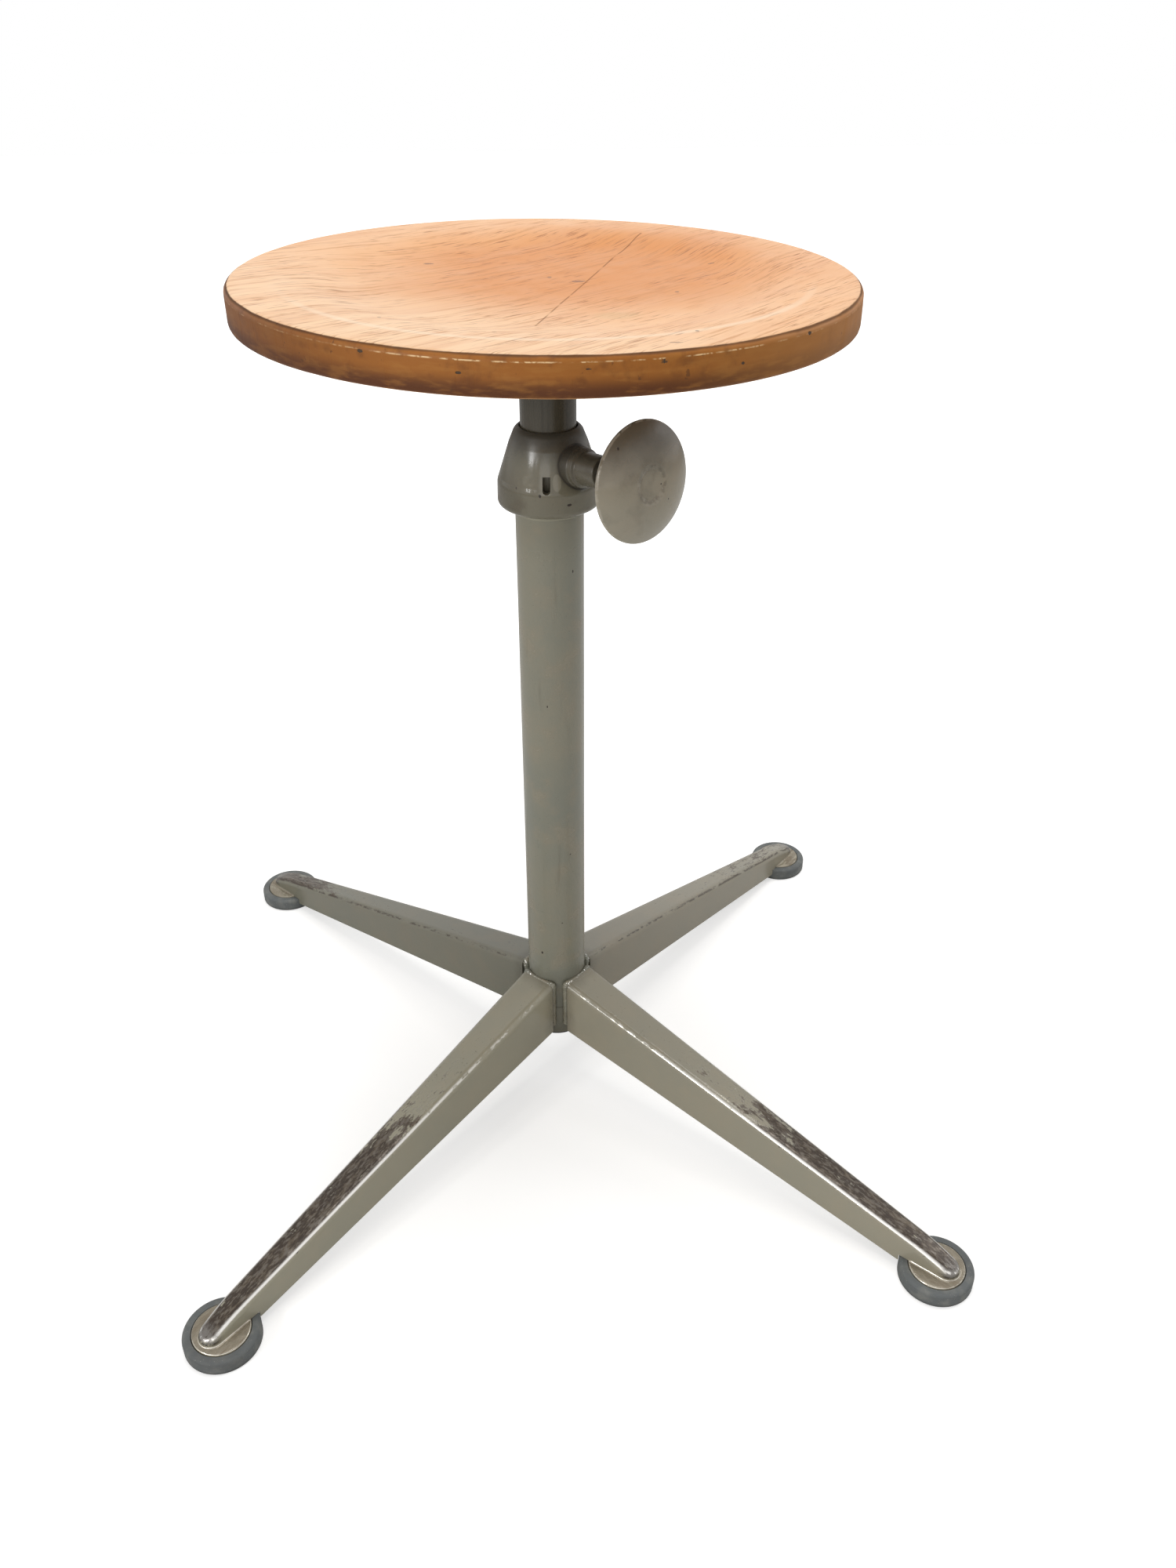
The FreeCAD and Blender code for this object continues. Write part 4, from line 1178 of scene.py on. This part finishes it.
def head_outline():
    """From the middle of the domed head up to the point, with the washer as a collar."""
    dome = []
    for step in range(7):
        angle = step / 6 * 80 * DEG
        height = head_low + head_height * 0.75 * (1 - math.cos(angle))
        dome.append((head_radius * math.sin(angle), height))
    dome += [(head_radius, washer_bottom)]
    edge = 0.25 * MM
    collar = [(washer_radius - edge, washer_bottom), (washer_radius, washer_bottom + edge)]
    collar += [(washer_radius, washer_top - edge), (washer_radius - edge, washer_top)]
    threads = []
    turn = washer_top + 0.5 * MM
    while turn < screw_tip - 3 * MM:
        threads += [(shank_radius * 0.74, turn), (shank_radius, turn + 0.5 * MM)]
        turn += 1.1 * MM
    return dome + collar + [(shank_radius, washer_top)] + threads + [(0.0, screw_tip)]


fixing = Tree("fixings", Circle=62 * MM, Count=4, Slot_width=1.1 * MM, Slot_depth=1.3 * MM, Seed=5)
slot_size = fixing.vector(3 * head_radius, fixing["Slot_width"], fixing["Slot_depth"])
bar = fixing.node("GeometryNodeMeshCube", Size=slot_size)
bar_place = fixing.vector(0.0, 0.0, fixing["Slot_depth"] * 0.5 + (head_low - 0.05 * MM))
bar = fixing.node("GeometryNodeTransform", Geometry=bar, Translation=bar_place)
screw = fixing.node("GeometryNodeMeshBoolean", fixing["Geometry"], bar, operation="DIFFERENCE")
places = fixing.node("GeometryNodeMeshCircle", Vertices=fixing["Count"], Radius=fixing["Circle"])
chance = fixing.node("FunctionNodeRandomValue", data_type="FLOAT", output=1, Seed=fixing["Seed"])
screws = fixing.copies(places, screw, chance * (2 * math.pi))
fixing.result(screws, finishes["pin_steel"])
screws = fixing.apply("plate_screws", turned("screw_blank", head_outline(), 32))
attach(screws, "seat")
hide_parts("seat_screws", "screw_washers")

# %% [markdown]
# ## Clamp screw
# The screw between the neck and the knob is threaded. A thread follows a rule, so a tree makes it:
# a grid is rolled into a rod, and each point's radius is a triangle wave of its height less its
# turn, which winds the crests into a helix. The nose and the far end stay plain.

# %% Threaded screw
thread_pitch = 1.5 * MM
thread_start = 25.3 * MM
thread_end = 84.2 * MM
nose_tip = 20.9 * MM
nose_radius = 2.6 * MM
nose_bevel = 0.6 * MM
root_radius = 4.3 * MM
crest_radius = 4.95 * MM
thread_steps = 28

thread_sizes = {"Crest": crest_radius, "Root": root_radius, "Pitch": thread_pitch}
thread = Tree("thread", Start=thread_start, End=thread_end, **thread_sizes)
grid = {"Size_X": 1.0, "Size_Y": 1.0, "Vertices_X": thread_steps + 1, "Vertices_Y": 320}
grid = thread.node("GeometryNodeMeshGrid", **grid)
flat_x, flat_y, _ = thread.split(thread.node("GeometryNodeInputPosition"))
turn = flat_x + 0.5
share = flat_y + 0.5
height = share * (thread["End"] - thread["Start"]) + thread["Start"]
wave = (height / thread["Pitch"] - turn).sum("PINGPONG", 0.5) * 2.0
wave = wave * (share.least(1 - share) * 40.0).least(1.0)
rod_radius = wave * (thread["Crest"] - thread["Root"]) + thread["Root"]
around = turn * (2 * math.pi)
rolled = thread.vector(rod_radius * around.sum("COSINE"), rod_radius * around.sum("SINE"), height)
rod = thread.node("GeometryNodeSetPosition", Geometry=grid, Position=rolled)
rod = thread.node("GeometryNodeMergeByDistance", Geometry=rod, Distance=0.01 * MM)
joined = thread.node("GeometryNodeJoinGeometry", [rod, thread["Geometry"]])
thread.result(joined, finishes["screw_steel"])


def lay_on_clamp_axis(piece):
    """Moves a shape made on the upright axis onto the clamp's axis, in its mesh."""
    tilt = Vector((0, 0, 1)).rotation_difference(clamp_axis).to_matrix().to_4x4()
    piece.data.transform(Matrix.Translation(clamp_origin) @ tilt)


print("clamp screw tree nodes:", len(thread.tree.nodes))

# %% Screw ends, and the screw in its place
ends = [(0.0, nose_tip), (nose_radius - nose_bevel, nose_tip)]
ends += [(nose_radius, nose_tip + nose_bevel), (nose_radius, thread_start)]
ends += [(root_radius, thread_start), (root_radius, thread_end), (0.0, thread_end)]
clamp_thread = thread.apply("clamp_thread", turned("screw_ends", ends, thread_steps))
lay_on_clamp_axis(clamp_thread)
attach(clamp_thread, "knob")
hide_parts("clamp_screw")

# %% [markdown]
# ## Dress the solids
# A solid that already has the right shape only needs its finish. Each solid's slot in the record
# says what it is made of, and the four legs get one finish each, because they are worn unequally
# and each carries its own painted light and shade.

# %% Give each solid its finish
slot_of = {part["node"]: part["material_slot"] for part in frame["record"]["subparts"]}
for node, solid in frame["nodes"].items():
    finish = finishes.get(node) or finishes[slot_of[node]]
    solid.data.materials.clear()
    solid.data.materials.append(finish)
print("dressed:", len(slot_of))

# %% [markdown]
# The dressed stool has to keep the size of the solids. Both boxes are taken, and how far the
# dressed one reaches past the solids is printed.

# %% Colour handling, sizes and the last checks
bpy.context.scene.view_settings.view_transform = "Standard"
dressed_box = [list(corner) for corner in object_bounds()]
growth = [round((dressed_box[1][axis] - solid_box[1][axis]) * 1000, 2) for axis in range(3)]
print("dressed box past the solids, mm:", growth)
